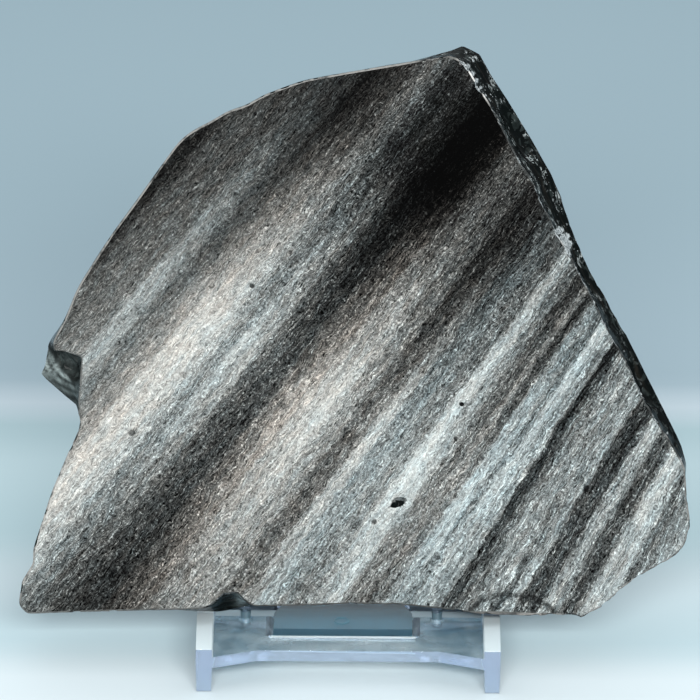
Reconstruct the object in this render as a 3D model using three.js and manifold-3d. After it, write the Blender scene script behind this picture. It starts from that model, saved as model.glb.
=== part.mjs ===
// A polished slab of banded obsidian leaning on a clear moulded easel.
// Millimetres, +Z up. The polished face looks towards -Y and leans back.
// The frame's origin lies under the middle of the whole object, on the surface it stands on.
import * as THREE from "three";
import { mergeVertices } from "three/addons/utils/BufferGeometryUtils.js";
import Module from "manifold-3d";

// ---- Driving dimensions -------------------------------------------------------------------

const LEAN = THREE.MathUtils.degToRad(20); // the slab and the easel's arms lean back from upright
const SLAB_THICK = 9;
const FACE_FOOT = { y: 11.8, z: 12.8 }; // height zero of the polished face, behind the easel's front
const REST_GAP = 0.3; // between the stone and what carries it
const BEVEL = { inset: 0.7, depth: 0.6 }; // ground edge round the polished face and the sawn back

const STAND_MIDDLE_X = -1.2; // the stone sits a little off the easel's middle
const RAIL = { spacing: 60.5, thick: 3.5, height: 9.9, length: 58, rearHeight: 8, heelHeight: 4 };
const RAIL_DRAFT = { height: 5.8, each: 0.18 }; // below the parting line the foot narrows
const SEAT = { front: 16.2, depth: 0.9 }; // heel cut into the top of each rail
const ARM = { top: 62, width: 6, tipRadius: 1.6 };
const BRACE = { topY: 47.4, topZ: 56, width: 5 };
const FRAME_CORNER = { edge: 0.3, toe: 0.6, heel: 1, heelTop: 1.5, brace: 2 }; // radii, outside
const OPENING_CORNER = { base: 2.2, peak: 0.8 }; // radii of the side frame's opening

const PLATE = { top: 8.1, thick: 2.6, back: 24, bendX: 19.1, bendY: 3.6, bendRadius: 0.8 };
const WINDOW = { left: -15.6, right: 13.4, front: 11, flare: 1.7 }; // from the easel's middle
const LOW_BAR = { front: 24.6, back: 37.6, bottom: 1, top: 3.2 };
const HIGH_BAR = { bottom: 36, top: 43, thick: 2.4 };
const FUSE = 0.6; // how far a bar runs into the side frames, inside the one moulding

const PANEL = { thick: 2.4, top: 58, cornerRadius: 3, sideGap: 0.3 };
const NOTCH = { left: -15.6, right: 13.4, straight: 0.7, corner: 1.6, top: 20, topRadius: 2 };
const PEG = { radius: 1.15, clearance: 0.3, top: 10.1, bottom: 5.9, left: -21.7, right: 18.7 };
const PEG_INSET = 0.5; // the pegs' axes lie this far behind the panel's front
const OVER = 1; // how far a cutter runs on past the faces it cuts

// The slab's rim, clockwise from the top corner as seen from the front, in the slab's own plane.
// Each point is [x, z] on the polished face, then [x, z] on the back, where the broken side ends.
// hollow is how far the side dips between the two, and a negative one bulges.
const RIM = [
  { side: "top corner", hollow: 0.5, points: [
    [18.7, 117.7, 19.7, 118.4],
    [20.4, 117.2, 22.0, 119.4],
    [22.3, 116.3, 25.6, 117.6],
  ] },
  { side: "long right side, broken", hollow: 0.7, points: [
    [25.2, 111.7, 27.9, 113.4],
    [28.4, 106.5, 31.4, 108.2],
    [33.1, 97.5, 36.7, 99.6],
    [37.3, 90.6, 40.8, 92.5],
    [39.7, 85.3, 43.1, 87.3],
    [42.2, 80.3, 45.4, 82.0],
    [45.2, 75.3, 48.0, 76.8],
    [48.8, 68.6, 51.5, 70.1],
    [53.1, 60.2, 55.5, 61.5],
    [56.9, 53.7, 58.9, 54.8],
    [61.2, 44.7, 63.5, 45.8],
    [64.4, 39.7, 66.2, 40.6],
    [67.6, 34.7, 68.8, 35.3],
  ] },
  { side: "right end", hollow: 0.1, points: [
    [69.4, 31.2, 69.9, 31.4],
    [69.7, 26.1, 69.5, 25.9],
    [70.6, 19.2, 70.0, 19.4],
    [69.4, 15.0, 68.7, 15.6],
    [67.9, 13.1, 67.3, 13.9],
  ] },
  { side: "lower right, broken", hollow: 0.2, points: [
    [65.8, 11.7, 65.2, 12.6],
    [61.4, 9.3, 60.6, 10.1],
    [56.8, 6.2, 56.2, 7.1],
    [52.5, 2.1, 51.8, 3.1],
    [47.9, -0.5, 47.4, 0.8],
    [42.8, 0.1, 42.6, 0.5],
    [36.7, -0.3, 36.5, -0.2],
  ] },
  { side: "foot over the right rail", hollow: 0, points: [
    [31.4, -0.1, 31.4, -0.5],
    [26.8, 0.1, 26.8, -0.5],
  ] },
  { side: "bottom edge", hollow: 0.2, points: [
    [19.3, 1.1, 19.3, 1.0],
    [9.6, 2.0, 9.6, 2.0],
    [-0.9, 2.1, -0.9, 2.1],
    [-11.4, 1.6, -11.4, 1.5],
    [-21.3, 1.4, -21.5, 0.8],
  ] },
  { side: "chip in the bottom edge", hollow: 0.4, points: [
    [-23.2, 2.6, -22.9, 0.7],
    [-24.6, 4.2, -24.8, 0.3],
    [-27.4, 3.9, -27.3, -0.3],
    [-28.7, 2.6, -28.6, -0.5],
  ] },
  { side: "foot over the left rail", hollow: 0, points: [
    [-30.7, 1.1, -30.7, -0.5],
    [-33.8, 0.6, -33.8, -0.5],
  ] },
  { side: "lower left edge", hollow: 0.1, points: [
    [-43.9, 0.4, -43.7, 0.5],
    [-55.7, 0.0, -55.5, 0.5],
    [-68.9, -0.5, -68.1, 0.4],
    [-70.6, 1.4, -69.8, 1.8],
  ] },
  { side: "left edge, ground", hollow: -0.2, points: [
    [-70.0, 6.4, -69.2, 6.7],
    [-67.5, 10.2, -66.9, 10.0],
    [-67.7, 13.0, -67.1, 13.0],
    [-63.8, 25.2, -63.2, 25.2],
    [-60.1, 34.2, -59.5, 34.2],
  ] },
  { side: "shell-shaped break that stands out at the left", hollow: 1.1, points: [
    [-58.3, 38.0, -57.8, 39.1],
    [-58.3, 42.7, -58.9, 43.1],
    [-58.3, 45.0, -61.2, 44.9],
    [-57.9, 49.8, -65.2, 48.4],
    [-57.8, 52.2, -66.3, 49.6],
    [-57.7, 53.7, -65.5, 51.3],
    [-59.8, 54.4, -65.2, 53.2],
    [-62.8, 54.8, -64.9, 54.9],
  ] },
  { side: "long curved edge", hollow: -0.2, points: [
    [-64.5, 55.6, -64.9, 56.5],
    [-61.2, 61.5, -60.9, 61.3],
    [-58.7, 68.1, -58.5, 67.6],
    [-54.9, 74.2, -54.7, 74.0],
    [-51.4, 79.7, -51.2, 79.2],
    [-46.2, 86.8, -46.0, 86.4],
    [-41.8, 93.2, -41.4, 92.8],
    [-37.3, 99.5, -36.8, 98.9],
    [-34.3, 101.8, -33.9, 101.2],
    [-31.0, 103.3, -30.6, 102.7],
    [-26.6, 106.2, -26.2, 105.5],
    [-24.1, 106.4, -23.9, 105.9],
    [-19.9, 109.1, -19.7, 108.4],
    [-11.3, 112.3, -11.1, 111.7],
    [-2.1, 114.0, -2.1, 113.4],
    [8.8, 115.9, 9.0, 115.4],
  ] },
];

// Flake scars: each takes a shallow bowl out of the slab. at is [x, depth behind the face, z] of
// the ellipsoid's middle, radii are its half sizes, and turn is its turn about the depth axis.
const SCARS = [
  { name: "step low on the right of the face", at: [33.6, -2.1, -0.8], radii: [14.5, 3, 8], turn: 4 },
  { name: "pit in the face", at: [8.9, -0.3, 23.2], radii: [1.6, 0.9, 0.62], turn: -17 },
  { name: "crushed edge on the right", at: [44.7, -0.4, 79.4], radii: [1.6, 1.7, 5], turn: -28 },
  { name: "chip by the top corner", at: [17.2, 2, 118.8], radii: [3.6, 3.6, 1.9], turn: -12 },
  { name: "flake high on the right side", at: [34.9, 3.2, 103.4], radii: [4, 5, 12], turn: -27 },
  { name: "flake on the right side", at: [50.9, 3.4, 73], radii: [4, 5.2, 13], turn: -30 },
  { name: "flake low on the right side", at: [62.6, 3.4, 49.6], radii: [4, 5, 10], turn: -29 },
  { name: "flake on the lower right", at: [63.5, 7.5, 3.5], radii: [13, 7, 6], turn: -33 },
  { name: "flake from the back, left", at: [-68.6, 12.2, 22], radii: [11, 5.6, 20], turn: 19 },
  { name: "flake from the back, upper left", at: [-50.4, 12.2, 87.6], radii: [12, 5.6, 26], turn: 35 },
  { name: "flake from the back, top", at: [-6.6, 12, 116.2], radii: [24, 5, 11], turn: -12 },
  { name: "flake from the back, right", at: [53.6, 12.2, 74], radii: [10, 5.4, 25], turn: -28 },
];

// ---- Solids -------------------------------------------------------------------------------

const wasm = await Module();
wasm.setup();

// A closed three.js geometry as a manifold-3d solid.
function solidOf(geometry) {
  const bare = new THREE.BufferGeometry();
  bare.setAttribute("position", geometry.getAttribute("position"));
  bare.setIndex(geometry.getIndex());
  const merged = mergeVertices(bare, 1e-4);
  return new wasm.Manifold(
    new wasm.Mesh({
      numProp: 3,
      vertProperties: new Float32Array(merged.getAttribute("position").array),
      triVerts: new Uint32Array(merged.getIndex().array),
    }),
  );
}

// A solid back as a flat-shaded three.js geometry.
function geometryOf(solid) {
  const mesh = solid.getMesh();
  const corners = new Float32Array(mesh.numVert * 3);
  for (let i = 0; i < mesh.numVert; i++) {
    corners.set(mesh.vertProperties.subarray(i * mesh.numProp, i * mesh.numProp + 3), i * 3);
  }
  const shared = new THREE.BufferGeometry();
  shared.setAttribute("position", new THREE.BufferAttribute(corners, 3));
  shared.setIndex(new THREE.BufferAttribute(mesh.triVerts, 1));
  const flat = shared.toNonIndexed();
  flat.computeVertexNormals();
  return flat;
}

function fuse(solids) {
  return solids.reduce((all, one) => all.add(one));
}

// A closed outline whose corners are rounded by the radius given with each: [x, y, radius].
function roundedShape(corners) {
  const shape = new THREE.Shape();
  corners.forEach(([x, y, radius = 0], i) => {
    const here = new THREE.Vector2(x, y);
    const before = new THREE.Vector2(...corners.at(i - 1).slice(0, 2));
    const after = new THREE.Vector2(...corners[(i + 1) % corners.length].slice(0, 2));
    const start = here.clone().addScaledVector(before.sub(here).normalize(), radius);
    const end = here.clone().addScaledVector(after.sub(here).normalize(), radius);
    if (i === 0) shape.moveTo(start.x, start.y);
    else shape.lineTo(start.x, start.y);
    if (radius > 0) shape.quadraticCurveTo(x, y, end.x, end.y);
  });
  shape.closePath();
  return shape;
}

const CORNER_SEGMENTS = 4;
const PEG_SEGMENTS = 20;

function extrude(shape, depth) {
  return new THREE.ExtrudeGeometry(shape, {
    depth,
    bevelEnabled: false,
    curveSegments: CORNER_SEGMENTS,
  });
}

// A Y-Z outline carried along X from x0 to x1.
function alongX(shape, x0, x1) {
  const turn = new THREE.Matrix4().makeBasis(
    new THREE.Vector3(0, 1, 0),
    new THREE.Vector3(0, 0, 1),
    new THREE.Vector3(1, 0, 0),
  );
  return solidOf(extrude(shape, x1 - x0).applyMatrix4(turn).translate(x0, 0, 0));
}

// An X-Z outline carried along Y from y0 to y1.
function alongY(shape, y0, y1) {
  return solidOf(extrude(shape, y1 - y0).rotateX(Math.PI / 2).translate(0, y1, 0));
}

// An X-Y outline carried up Z from z0 to z1.
function alongZ(shape, z0, z1) {
  return solidOf(extrude(shape, z1 - z0).translate(0, 0, z0));
}

function uprightCylinder(x, y, radius, z0, z1) {
  const geometry = new THREE.CylinderGeometry(radius, radius, z1 - z0, PEG_SEGMENTS);
  return solidOf(geometry.rotateX(Math.PI / 2).translate(x, y, (z0 + z1) / 2));
}

// ---- Easel --------------------------------------------------------------------------------

const TAN_LEAN = Math.tan(LEAN);
const COS_LEAN = Math.cos(LEAN);
const SIN_LEAN = Math.sin(LEAN);

// Depth, at height z, of the leaning plane that lies behind the polished face by a given amount.
function leaningPlane(z, behind) {
  const y = FACE_FOOT.y + behind * COS_LEAN;
  return y + (z - FACE_FOOT.z + behind * SIN_LEAN) * TAN_LEAN;
}

const REST_PLANE = SLAB_THICK + REST_GAP; // front of the arms and of the panel

// A bar or panel between two heights, parallel to the leaning slab, from x0 to x1.
function leaningBar(x0, x1, z0, z1, behind, thick) {
  const across = thick / COS_LEAN;
  const shape = roundedShape([
    [leaningPlane(z0, behind), z0],
    [leaningPlane(z0, behind) + across, z0],
    [leaningPlane(z1, behind) + across, z1],
    [leaningPlane(z1, behind), z1],
  ]);
  return alongX(shape, x0, x1);
}

// The side frame seen from its side: rail, leaning arm and rear brace round a triangle.
function sideFrameShape() {
  const seatFloor = RAIL.height - SEAT.depth;
  const armAcross = ARM.width / COS_LEAN;
  const armTop = leaningPlane(ARM.top, REST_PLANE);
  const shape = roundedShape([
    [0, 0, FRAME_CORNER.toe],
    [RAIL.length, 0, FRAME_CORNER.heel],
    [RAIL.length, RAIL.heelHeight, FRAME_CORNER.heelTop],
    [BRACE.topY, BRACE.topZ, FRAME_CORNER.brace],
    [armTop + armAcross, ARM.top, ARM.tipRadius],
    [armTop, ARM.top, ARM.tipRadius],
    [leaningPlane(seatFloor, REST_PLANE), seatFloor, FRAME_CORNER.edge],
    [SEAT.front, RAIL.height],
    [0, RAIL.height, FRAME_CORNER.edge],
  ]);
  shape.holes.push(sideOpening(armAcross));
  return shape;
}

// The triangle between the rail, the arm and the brace.
function sideOpening(armAcross) {
  const armBack = (z) => leaningPlane(z, REST_PLANE) + armAcross;
  const braceSlope = (RAIL.length - BRACE.topY) / (BRACE.topZ - RAIL.heelHeight);
  const braceFront = (z) => BRACE.topY - BRACE.width + (BRACE.topZ - z) * braceSlope;
  const peak = BRACE.topZ - BRACE.width;
  return roundedShape([
    [armBack(RAIL.rearHeight), RAIL.rearHeight, OPENING_CORNER.base],
    [armBack(peak), peak, OPENING_CORNER.peak],
    [braceFront(peak), peak, OPENING_CORNER.peak],
    [braceFront(RAIL.rearHeight), RAIL.rearHeight, OPENING_CORNER.base],
  ]);
}

// Thin wedges that narrow the foot below its parting line.
function footWedges(x0, x1) {
  const { height, each } = RAIL_DRAFT;
  const left = roundedShape([
    [x0 - OVER, -OVER],
    [x0 + each, -OVER],
    [x0 + each, 0],
    [x0, height],
    [x0 - OVER, height],
  ]);
  const right = roundedShape([
    [x1 + OVER, -OVER],
    [x1 + OVER, height],
    [x1, height],
    [x1 - each, 0],
    [x1 - each, -OVER],
  ]);
  return [left, right].map((shape) => alongY(shape, -OVER, RAIL.length + OVER));
}

function sideFrame(middleX) {
  const x0 = middleX - RAIL.thick / 2;
  const x1 = middleX + RAIL.thick / 2;
  const frame = alongX(sideFrameShape(), x0, x1);
  return footWedges(x0, x1).reduce((solid, wedge) => solid.subtract(wedge), frame);
}

const LEFT_RAIL_X = STAND_MIDDLE_X - RAIL.spacing / 2;
const RIGHT_RAIL_X = STAND_MIDDLE_X + RAIL.spacing / 2;
const BAY = { x0: LEFT_RAIL_X + RAIL.thick / 2, x1: RIGHT_RAIL_X - RAIL.thick / 2 };
const PEG_Y = leaningPlane(PLATE.top, REST_PLANE) + PEG_INSET;

// The panel's two pegs, or the cutters of their holes, from z0 to z1.
function uprightPegs(radius, z0, z1) {
  return [PEG.left, PEG.right].map((x) => uprightCylinder(STAND_MIDDLE_X + x, PEG_Y, radius, z0, z1));
}

// The plate between the rails: its front edge is drawn back between two bends.
function basePlate() {
  const bottom = PLATE.top - PLATE.thick;
  const outline = roundedShape([
    [BAY.x0 - FUSE, 0],
    [BAY.x0, 0],
    [STAND_MIDDLE_X - PLATE.bendX, PLATE.bendY, PLATE.bendRadius],
    [STAND_MIDDLE_X + PLATE.bendX, PLATE.bendY, PLATE.bendRadius],
    [BAY.x1, 0],
    [BAY.x1 + FUSE, 0],
    [BAY.x1 + FUSE, PLATE.back],
    [BAY.x0 - FUSE, PLATE.back],
  ]);
  const holes = uprightPegs(PEG.radius + PEG.clearance, bottom - OVER, PLATE.top + OVER);
  const cuts = [plateWindow(bottom), ...holes];
  return cuts.reduce((solid, cut) => solid.subtract(cut), alongZ(outline, bottom, PLATE.top));
}

// The window is open towards the back, and its side walls flare upwards.
function plateWindow(bottom) {
  const slope = WINDOW.flare / PLATE.thick;
  const left = STAND_MIDDLE_X + WINDOW.left;
  const right = STAND_MIDDLE_X + WINDOW.right;
  const section = roundedShape([
    [left + slope * OVER, bottom - OVER],
    [right - slope * OVER, bottom - OVER],
    [right + slope * (PLATE.thick + OVER), PLATE.top + OVER],
    [left - slope * (PLATE.thick + OVER), PLATE.top + OVER],
  ]);
  return alongY(section, WINDOW.front, PLATE.back + OVER);
}

function lowBar() {
  const outline = roundedShape([
    [BAY.x0 - FUSE, LOW_BAR.front],
    [BAY.x1 + FUSE, LOW_BAR.front],
    [BAY.x1 + FUSE, LOW_BAR.back],
    [BAY.x0 - FUSE, LOW_BAR.back],
  ]);
  return alongZ(outline, LOW_BAR.bottom, LOW_BAR.top);
}

function highBar() {
  const behind = REST_PLANE + PANEL.thick + REST_GAP;
  return leaningBar(BAY.x0 - FUSE, BAY.x1 + FUSE, HIGH_BAR.bottom, HIGH_BAR.top, behind, HIGH_BAR.thick);
}

function standFrame() {
  return fuse([sideFrame(LEFT_RAIL_X), sideFrame(RIGHT_RAIL_X), basePlate(), lowBar(), highBar()]);
}

// The leaning panel: a plate with a wide notch over the window, on two pegs.
function standBackPanel() {
  const x0 = BAY.x0 + PANEL.sideGap;
  const x1 = BAY.x1 - PANEL.sideGap;
  const blank = leaningBar(x0, x1, PLATE.top, PANEL.top, REST_PLANE, PANEL.thick);
  const face = roundedShape([
    [x0, PLATE.top],
    [x1, PLATE.top],
    [x1, PANEL.top, PANEL.cornerRadius],
    [x0, PANEL.top, PANEL.cornerRadius],
  ]);
  const reach = RAIL.length;
  const pegs = uprightPegs(PEG.radius, PEG.bottom, PEG.top);
  const plate = blank.intersect(alongY(face, 0, reach)).subtract(alongY(panelNotch(), 0, reach));
  return fuse([plate, ...pegs]);
}

function panelNotch() {
  const left = STAND_MIDDLE_X + NOTCH.left;
  const right = STAND_MIDDLE_X + NOTCH.right;
  const shoulder = PLATE.top + NOTCH.straight;
  return roundedShape([
    [left, PLATE.top - OVER],
    [right, PLATE.top - OVER],
    [right, shoulder],
    [right - NOTCH.corner, shoulder + NOTCH.corner],
    [right - NOTCH.corner, NOTCH.top, NOTCH.topRadius],
    [left + NOTCH.corner, NOTCH.top, NOTCH.topRadius],
    [left + NOTCH.corner, shoulder + NOTCH.corner],
    [left, shoulder],
  ]);
}

// ---- Slab ---------------------------------------------------------------------------------

const SIDE_STEPS = [0.25, 0.5, 0.75]; // rings between the polished rim and the back rim

const rimPoints = RIM.flatMap(({ hollow, points }) =>
  points.map(([x, z, backX, backZ]) => ({
    front: new THREE.Vector2(x, z),
    back: new THREE.Vector2(backX, backZ),
    hollow,
  })),
);

// Outward directions at the corners of a clockwise ring.
function outwardNormals(ring) {
  return ring.map((_, i) => {
    const along = ring[(i + 1) % ring.length].clone().sub(ring.at(i - 1)).normalize();
    return new THREE.Vector2(-along.y, along.x);
  });
}

function insetRing(ring, amount) {
  const out = outwardNormals(ring);
  return ring.map((point, i) => point.clone().addScaledVector(out[i], -amount));
}

// One ring of the side: between the two rims, drawn in by the hollow.
function sideRing(share) {
  const ring = rimPoints.map(({ front, back }) => front.clone().lerp(back, share));
  const out = outwardNormals(ring);
  const dip = Math.sin(Math.PI * share);
  return ring.map((point, i) => point.clone().addScaledVector(out[i], -rimPoints[i].hollow * dip));
}

// Rings from the polished face round the side to the back, as [ring, depth behind the face].
function slabRings() {
  const front = rimPoints.map((point) => point.front);
  const back = rimPoints.map((point) => point.back);
  const sideDepth = SLAB_THICK - 2 * BEVEL.depth;
  return [
    [insetRing(front, BEVEL.inset), 0],
    [front, BEVEL.depth],
    ...SIDE_STEPS.map((share) => [sideRing(share), BEVEL.depth + share * sideDepth]),
    [back, SLAB_THICK - BEVEL.depth],
    [insetRing(back, BEVEL.inset), SLAB_THICK],
  ];
}

// The slab before its flakes broke off: rings joined in a skin, closed by two flat faces.
function slabBlank() {
  const rings = slabRings();
  const count = rimPoints.length;
  const corners = rings.flatMap(([ring, depth]) => ring.flatMap(({ x, y }) => [x, depth, y]));
  const faces = [];
  for (let r = 0; r + 1 < rings.length; r++) {
    for (let i = 0; i < count; i++) {
      const a = r * count + i;
      const b = r * count + ((i + 1) % count);
      faces.push(a, b, a + count, b, b + count, a + count);
    }
  }
  const last = (rings.length - 1) * count;
  for (const [a, b, c] of THREE.ShapeUtils.triangulateShape(rings[0][0], [])) {
    faces.push(a, b, c);
  }
  for (const [a, b, c] of THREE.ShapeUtils.triangulateShape(rings.at(-1)[0], [])) {
    faces.push(last + a, last + c, last + b);
  }
  const geometry = new THREE.BufferGeometry();
  geometry.setAttribute("position", new THREE.Float32BufferAttribute(corners, 3));
  geometry.setIndex(faces);
  return solidOf(geometry);
}

const SCAR_SEGMENTS = { around: 28, down: 18 };

function scarSolid({ at, radii, turn }) {
  const ball = new THREE.SphereGeometry(1, SCAR_SEGMENTS.around, SCAR_SEGMENTS.down);
  ball.scale(...radii);
  ball.rotateY(THREE.MathUtils.degToRad(turn));
  ball.translate(...at);
  return solidOf(ball);
}

function obsidianSlab() {
  return SCARS.reduce((solid, scar) => solid.subtract(scarSolid(scar)), slabBlank());
}

// ---- Assembly -----------------------------------------------------------------------------

const obsidian = { color: 0x4b4d4e, roughness: 0.28, metalness: 0 };
const clearPlastic = { color: 0xc4d2e8, roughness: 0.08, metalness: 0, transparent: true, opacity: 0.4 };

function named(name, solid, finish) {
  const mesh = new THREE.Mesh(geometryOf(solid), new THREE.MeshStandardMaterial(finish));
  mesh.name = name;
  return mesh;
}

const slabRest = new THREE.Group();
slabRest.position.set(0, FACE_FOOT.y, FACE_FOOT.z);
slabRest.rotation.x = -LEAN;
slabRest.add(named("obsidian_slab", obsidianSlab(), obsidian));

const root = new THREE.Group();
root.add(slabRest);
root.add(named("stand_frame", standFrame(), clearPlastic));
root.add(named("stand_back_panel", standBackPanel(), clearPlastic));

// Set the whole over its origin.
root.updateMatrixWorld(true);
const middle = new THREE.Box3().setFromObject(root, true).getCenter(new THREE.Vector3());
root.position.set(-middle.x, -middle.y, 0);

export default root;
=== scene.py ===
"""A polished slab of banded obsidian leaning on a clear moulded easel.

Metres, +Z up. The polished face looks towards -Y and leans back. Shapes of the stone are worked out
in millimetres in the slab's own frame, as (x, depth behind the polished face, z up the face), and are
turned into the row frame once, at the end.
"""

import logging
import math
from dataclasses import astuple, dataclass, field
from enum import Enum
from functools import reduce

import bmesh
import bpy
import numpy as np
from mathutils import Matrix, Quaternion, Vector


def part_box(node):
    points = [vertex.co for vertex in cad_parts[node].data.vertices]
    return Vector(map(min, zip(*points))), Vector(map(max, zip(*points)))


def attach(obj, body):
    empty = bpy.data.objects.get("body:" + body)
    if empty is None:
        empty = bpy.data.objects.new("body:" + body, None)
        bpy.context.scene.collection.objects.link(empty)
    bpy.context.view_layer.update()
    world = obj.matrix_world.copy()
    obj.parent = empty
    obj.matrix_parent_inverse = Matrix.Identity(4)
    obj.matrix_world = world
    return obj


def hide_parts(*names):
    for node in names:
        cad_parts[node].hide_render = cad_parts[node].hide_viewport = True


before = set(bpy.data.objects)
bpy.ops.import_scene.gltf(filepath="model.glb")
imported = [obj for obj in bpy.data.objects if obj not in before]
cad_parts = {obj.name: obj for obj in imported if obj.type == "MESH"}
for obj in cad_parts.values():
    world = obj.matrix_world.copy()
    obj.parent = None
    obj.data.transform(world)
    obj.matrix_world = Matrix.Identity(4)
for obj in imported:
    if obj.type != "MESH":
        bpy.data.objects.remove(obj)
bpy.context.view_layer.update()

LOG = logging.getLogger("banded_obsidian")
MM = 0.001
BODY = "root"
SWAYS_PER_STREAK = 0.6  # how often a streak sways to the side along its own length
GRAIN_ROUGHNESS = 0.65  # how strong the finer layers of a grain are
MAP_SCALE = 0.01  # the rim map's units in a millimetre
SMALL_SHARE = 1e-4  # a point at least this far inside a scar is broken
LEAST_LENGTH = 1e-6  # keeps a length that is divided by from being 0
AXIS_HASHES = (73856093, 19349663, 83492791)  # these five scramble a lattice corner
SEED_HASH = 40503
HASH_ROUNDS = ((15, 48271), (13, 69621))
HASH_MASK = 0x7FFFFFFF
HASH_RANGE = 0xFFFF
RIDGE_MEAN = 0.066  # how far noise strays from its middle on average, so that ridges centre on 0

Array = np.ndarray
Socket = bpy.types.NodeSocket
Value = Socket | float
Colour = tuple[float, float, float]


# ---- Frames and helpers ---------------------------------------------------------------------


@dataclass(frozen=True)
class LeaningFrame:
    """The slab's own frame: x to the right, depth behind the polished face, z up the face."""

    lean: float = math.radians(20)
    foot_behind_front: float = 11.8
    foot_height: float = 12.8

    def origin(self) -> Array:
        """The frame's origin in the row frame, in millimetres."""
        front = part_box("stand_frame")[0].y / MM
        return np.array([0.0, front + self.foot_behind_front, self.foot_height])

    def across(self) -> Array:
        """The direction of x."""
        return np.array([1.0, 0.0, 0.0])

    def up(self) -> Array:
        """The direction of z, up the face."""
        return np.array([0.0, math.sin(self.lean), math.cos(self.lean)])

    def behind(self) -> Array:
        """The direction of depth, from the face into the stone."""
        return np.array([0.0, math.cos(self.lean), -math.sin(self.lean)])

    def to_row(self, points: Array) -> Array:
        """Points whose last axis is (x, depth, z), in millimetres, as metres in the row frame."""
        axes = np.stack([self.across(), self.behind(), self.up()])
        return (self.origin() + points @ axes) * MM


SLAB_FRAME = LeaningFrame()


def lattice_noise(points: Array, cell: float, seed: int) -> Array:
    """Smooth random values from -1 to 1: hashed lattice corners, blended by a smoothstep per axis.

    Args:
        points: an array whose last axis has three coordinates.
        cell: the size of a lattice cell, in the points' unit.
        seed: picks another pattern.

    Returns:
        One value for each point.
    """
    place = points / cell
    base = np.floor(place).astype(np.int64)
    share = place - base
    share = share * share * (3 - 2 * share)
    total = np.zeros(points.shape[:-1])
    for corner in np.ndindex(2, 2, 2):
        cells = base + np.array(corner)
        mixed = np.bitwise_xor.reduce(cells * np.array(AXIS_HASHES), axis=-1)
        mixed = (mixed + seed * SEED_HASH) & HASH_MASK
        for shift, factor in HASH_ROUNDS:
            mixed = ((mixed ^ (mixed >> shift)) * factor) & HASH_MASK
        weight = np.prod(np.where(corner, share, 1 - share), axis=-1)
        total += weight * ((mixed & HASH_RANGE) / (HASH_RANGE / 2) - 1)
    return total


def smoothed_ring(ring: Array, sigma: float, step: float) -> Array:
    """A closed ring blurred along its length: each harmonic fades by a Gaussian of its frequency.

    Args:
        ring: values along the ring, in equal steps.
        sigma: how far the blur reaches, in the unit of step.
        step: the distance between two values.

    Returns:
        The blurred ring.
    """
    keep = np.exp(-2 * (math.pi * np.fft.fftfreq(len(ring), step) * sigma) ** 2)
    keep = keep.reshape(-1, *[1] * (ring.ndim - 1))
    return np.real(np.fft.ifft(np.fft.fft(ring, axis=0) * keep, axis=0))


def smoothstep(low: float, high: float, value: Array) -> Array:
    """0 below low, 1 above high, and a smooth rise between."""
    share = np.clip((value - low) / (high - low), 0, 1)
    return share * share * (3 - 2 * share)


def grid_faces(rows: int, columns: int) -> Array:
    """Quads of a grid whose columns close into rings: each joins two rows and two columns.

    Args:
        rows: how many rings there are.
        columns: how many points a ring has.

    Returns:
        The four corner indices of each quad.
    """
    row, column = np.meshgrid(np.arange(rows - 1), np.arange(columns), indexing="ij")
    after = (column + 1) % columns
    corners = [row * columns + column, row * columns + after,
               (row + 1) * columns + after, (row + 1) * columns + column]
    return np.stack(corners, axis=-1).reshape(-1, 4)


def signed_volume(points: Array, quads: Array) -> float:
    """The volume inside closed quads, positive when they face outwards: a sum of tetrahedra.

    Args:
        points: the corners.
        quads: the corner indices of each face.

    Returns:
        The volume.
    """
    a, b, c, d = (points[quads[:, k]] for k in range(4))
    fans = np.cross(b, c) * a
    return float((fans.sum() + (np.cross(c, d) * a).sum()) / 6)


def linked_object(name: str, data: bpy.types.ID) -> bpy.types.Object:
    """A linked object at the origin.

    Args:
        name: its name.
        data: its mesh, light or camera.

    Returns:
        The new object.
    """
    made = bpy.data.objects.new(name, data)
    bpy.context.scene.collection.objects.link(made)
    return made


def mesh_object(name: str, points: Array, faces: Array) -> bpy.types.Object:
    """A linked mesh object at the origin.

    Args:
        name: the piece's name.
        points: its vertices, in metres in the row frame.
        faces: the corner indices of each face.

    Returns:
        The new object.
    """
    mesh = bpy.data.meshes.new(name)
    mesh.from_pydata(points.tolist(), [], faces.tolist())
    mesh.validate()
    return linked_object(name, mesh)


def finish_piece(piece: bpy.types.Object, slot: str, *nodes: str) -> None:
    """Rides a piece on the body, and hides the CAD nodes it stands for.

    Args:
        piece: the finished object.
        slot: not used.
        nodes: CAD nodes that the piece replaces.
    """
    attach(piece, BODY)
    if nodes:
        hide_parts(*nodes)


# ---- Materials ------------------------------------------------------------------------------


@dataclass(frozen=True)
class Rise:
    """A smooth rise from start to end, as a value goes from low to high."""

    low: float
    high: float
    start: float = 0.0
    end: float = 1.0


@dataclass(frozen=True)
class Cloud:
    """Smooth noise: how fine it is, how many finer layers it has, and how strong they are."""

    scale: float
    detail: float = 2.0
    roughness: float = 0.5


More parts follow.
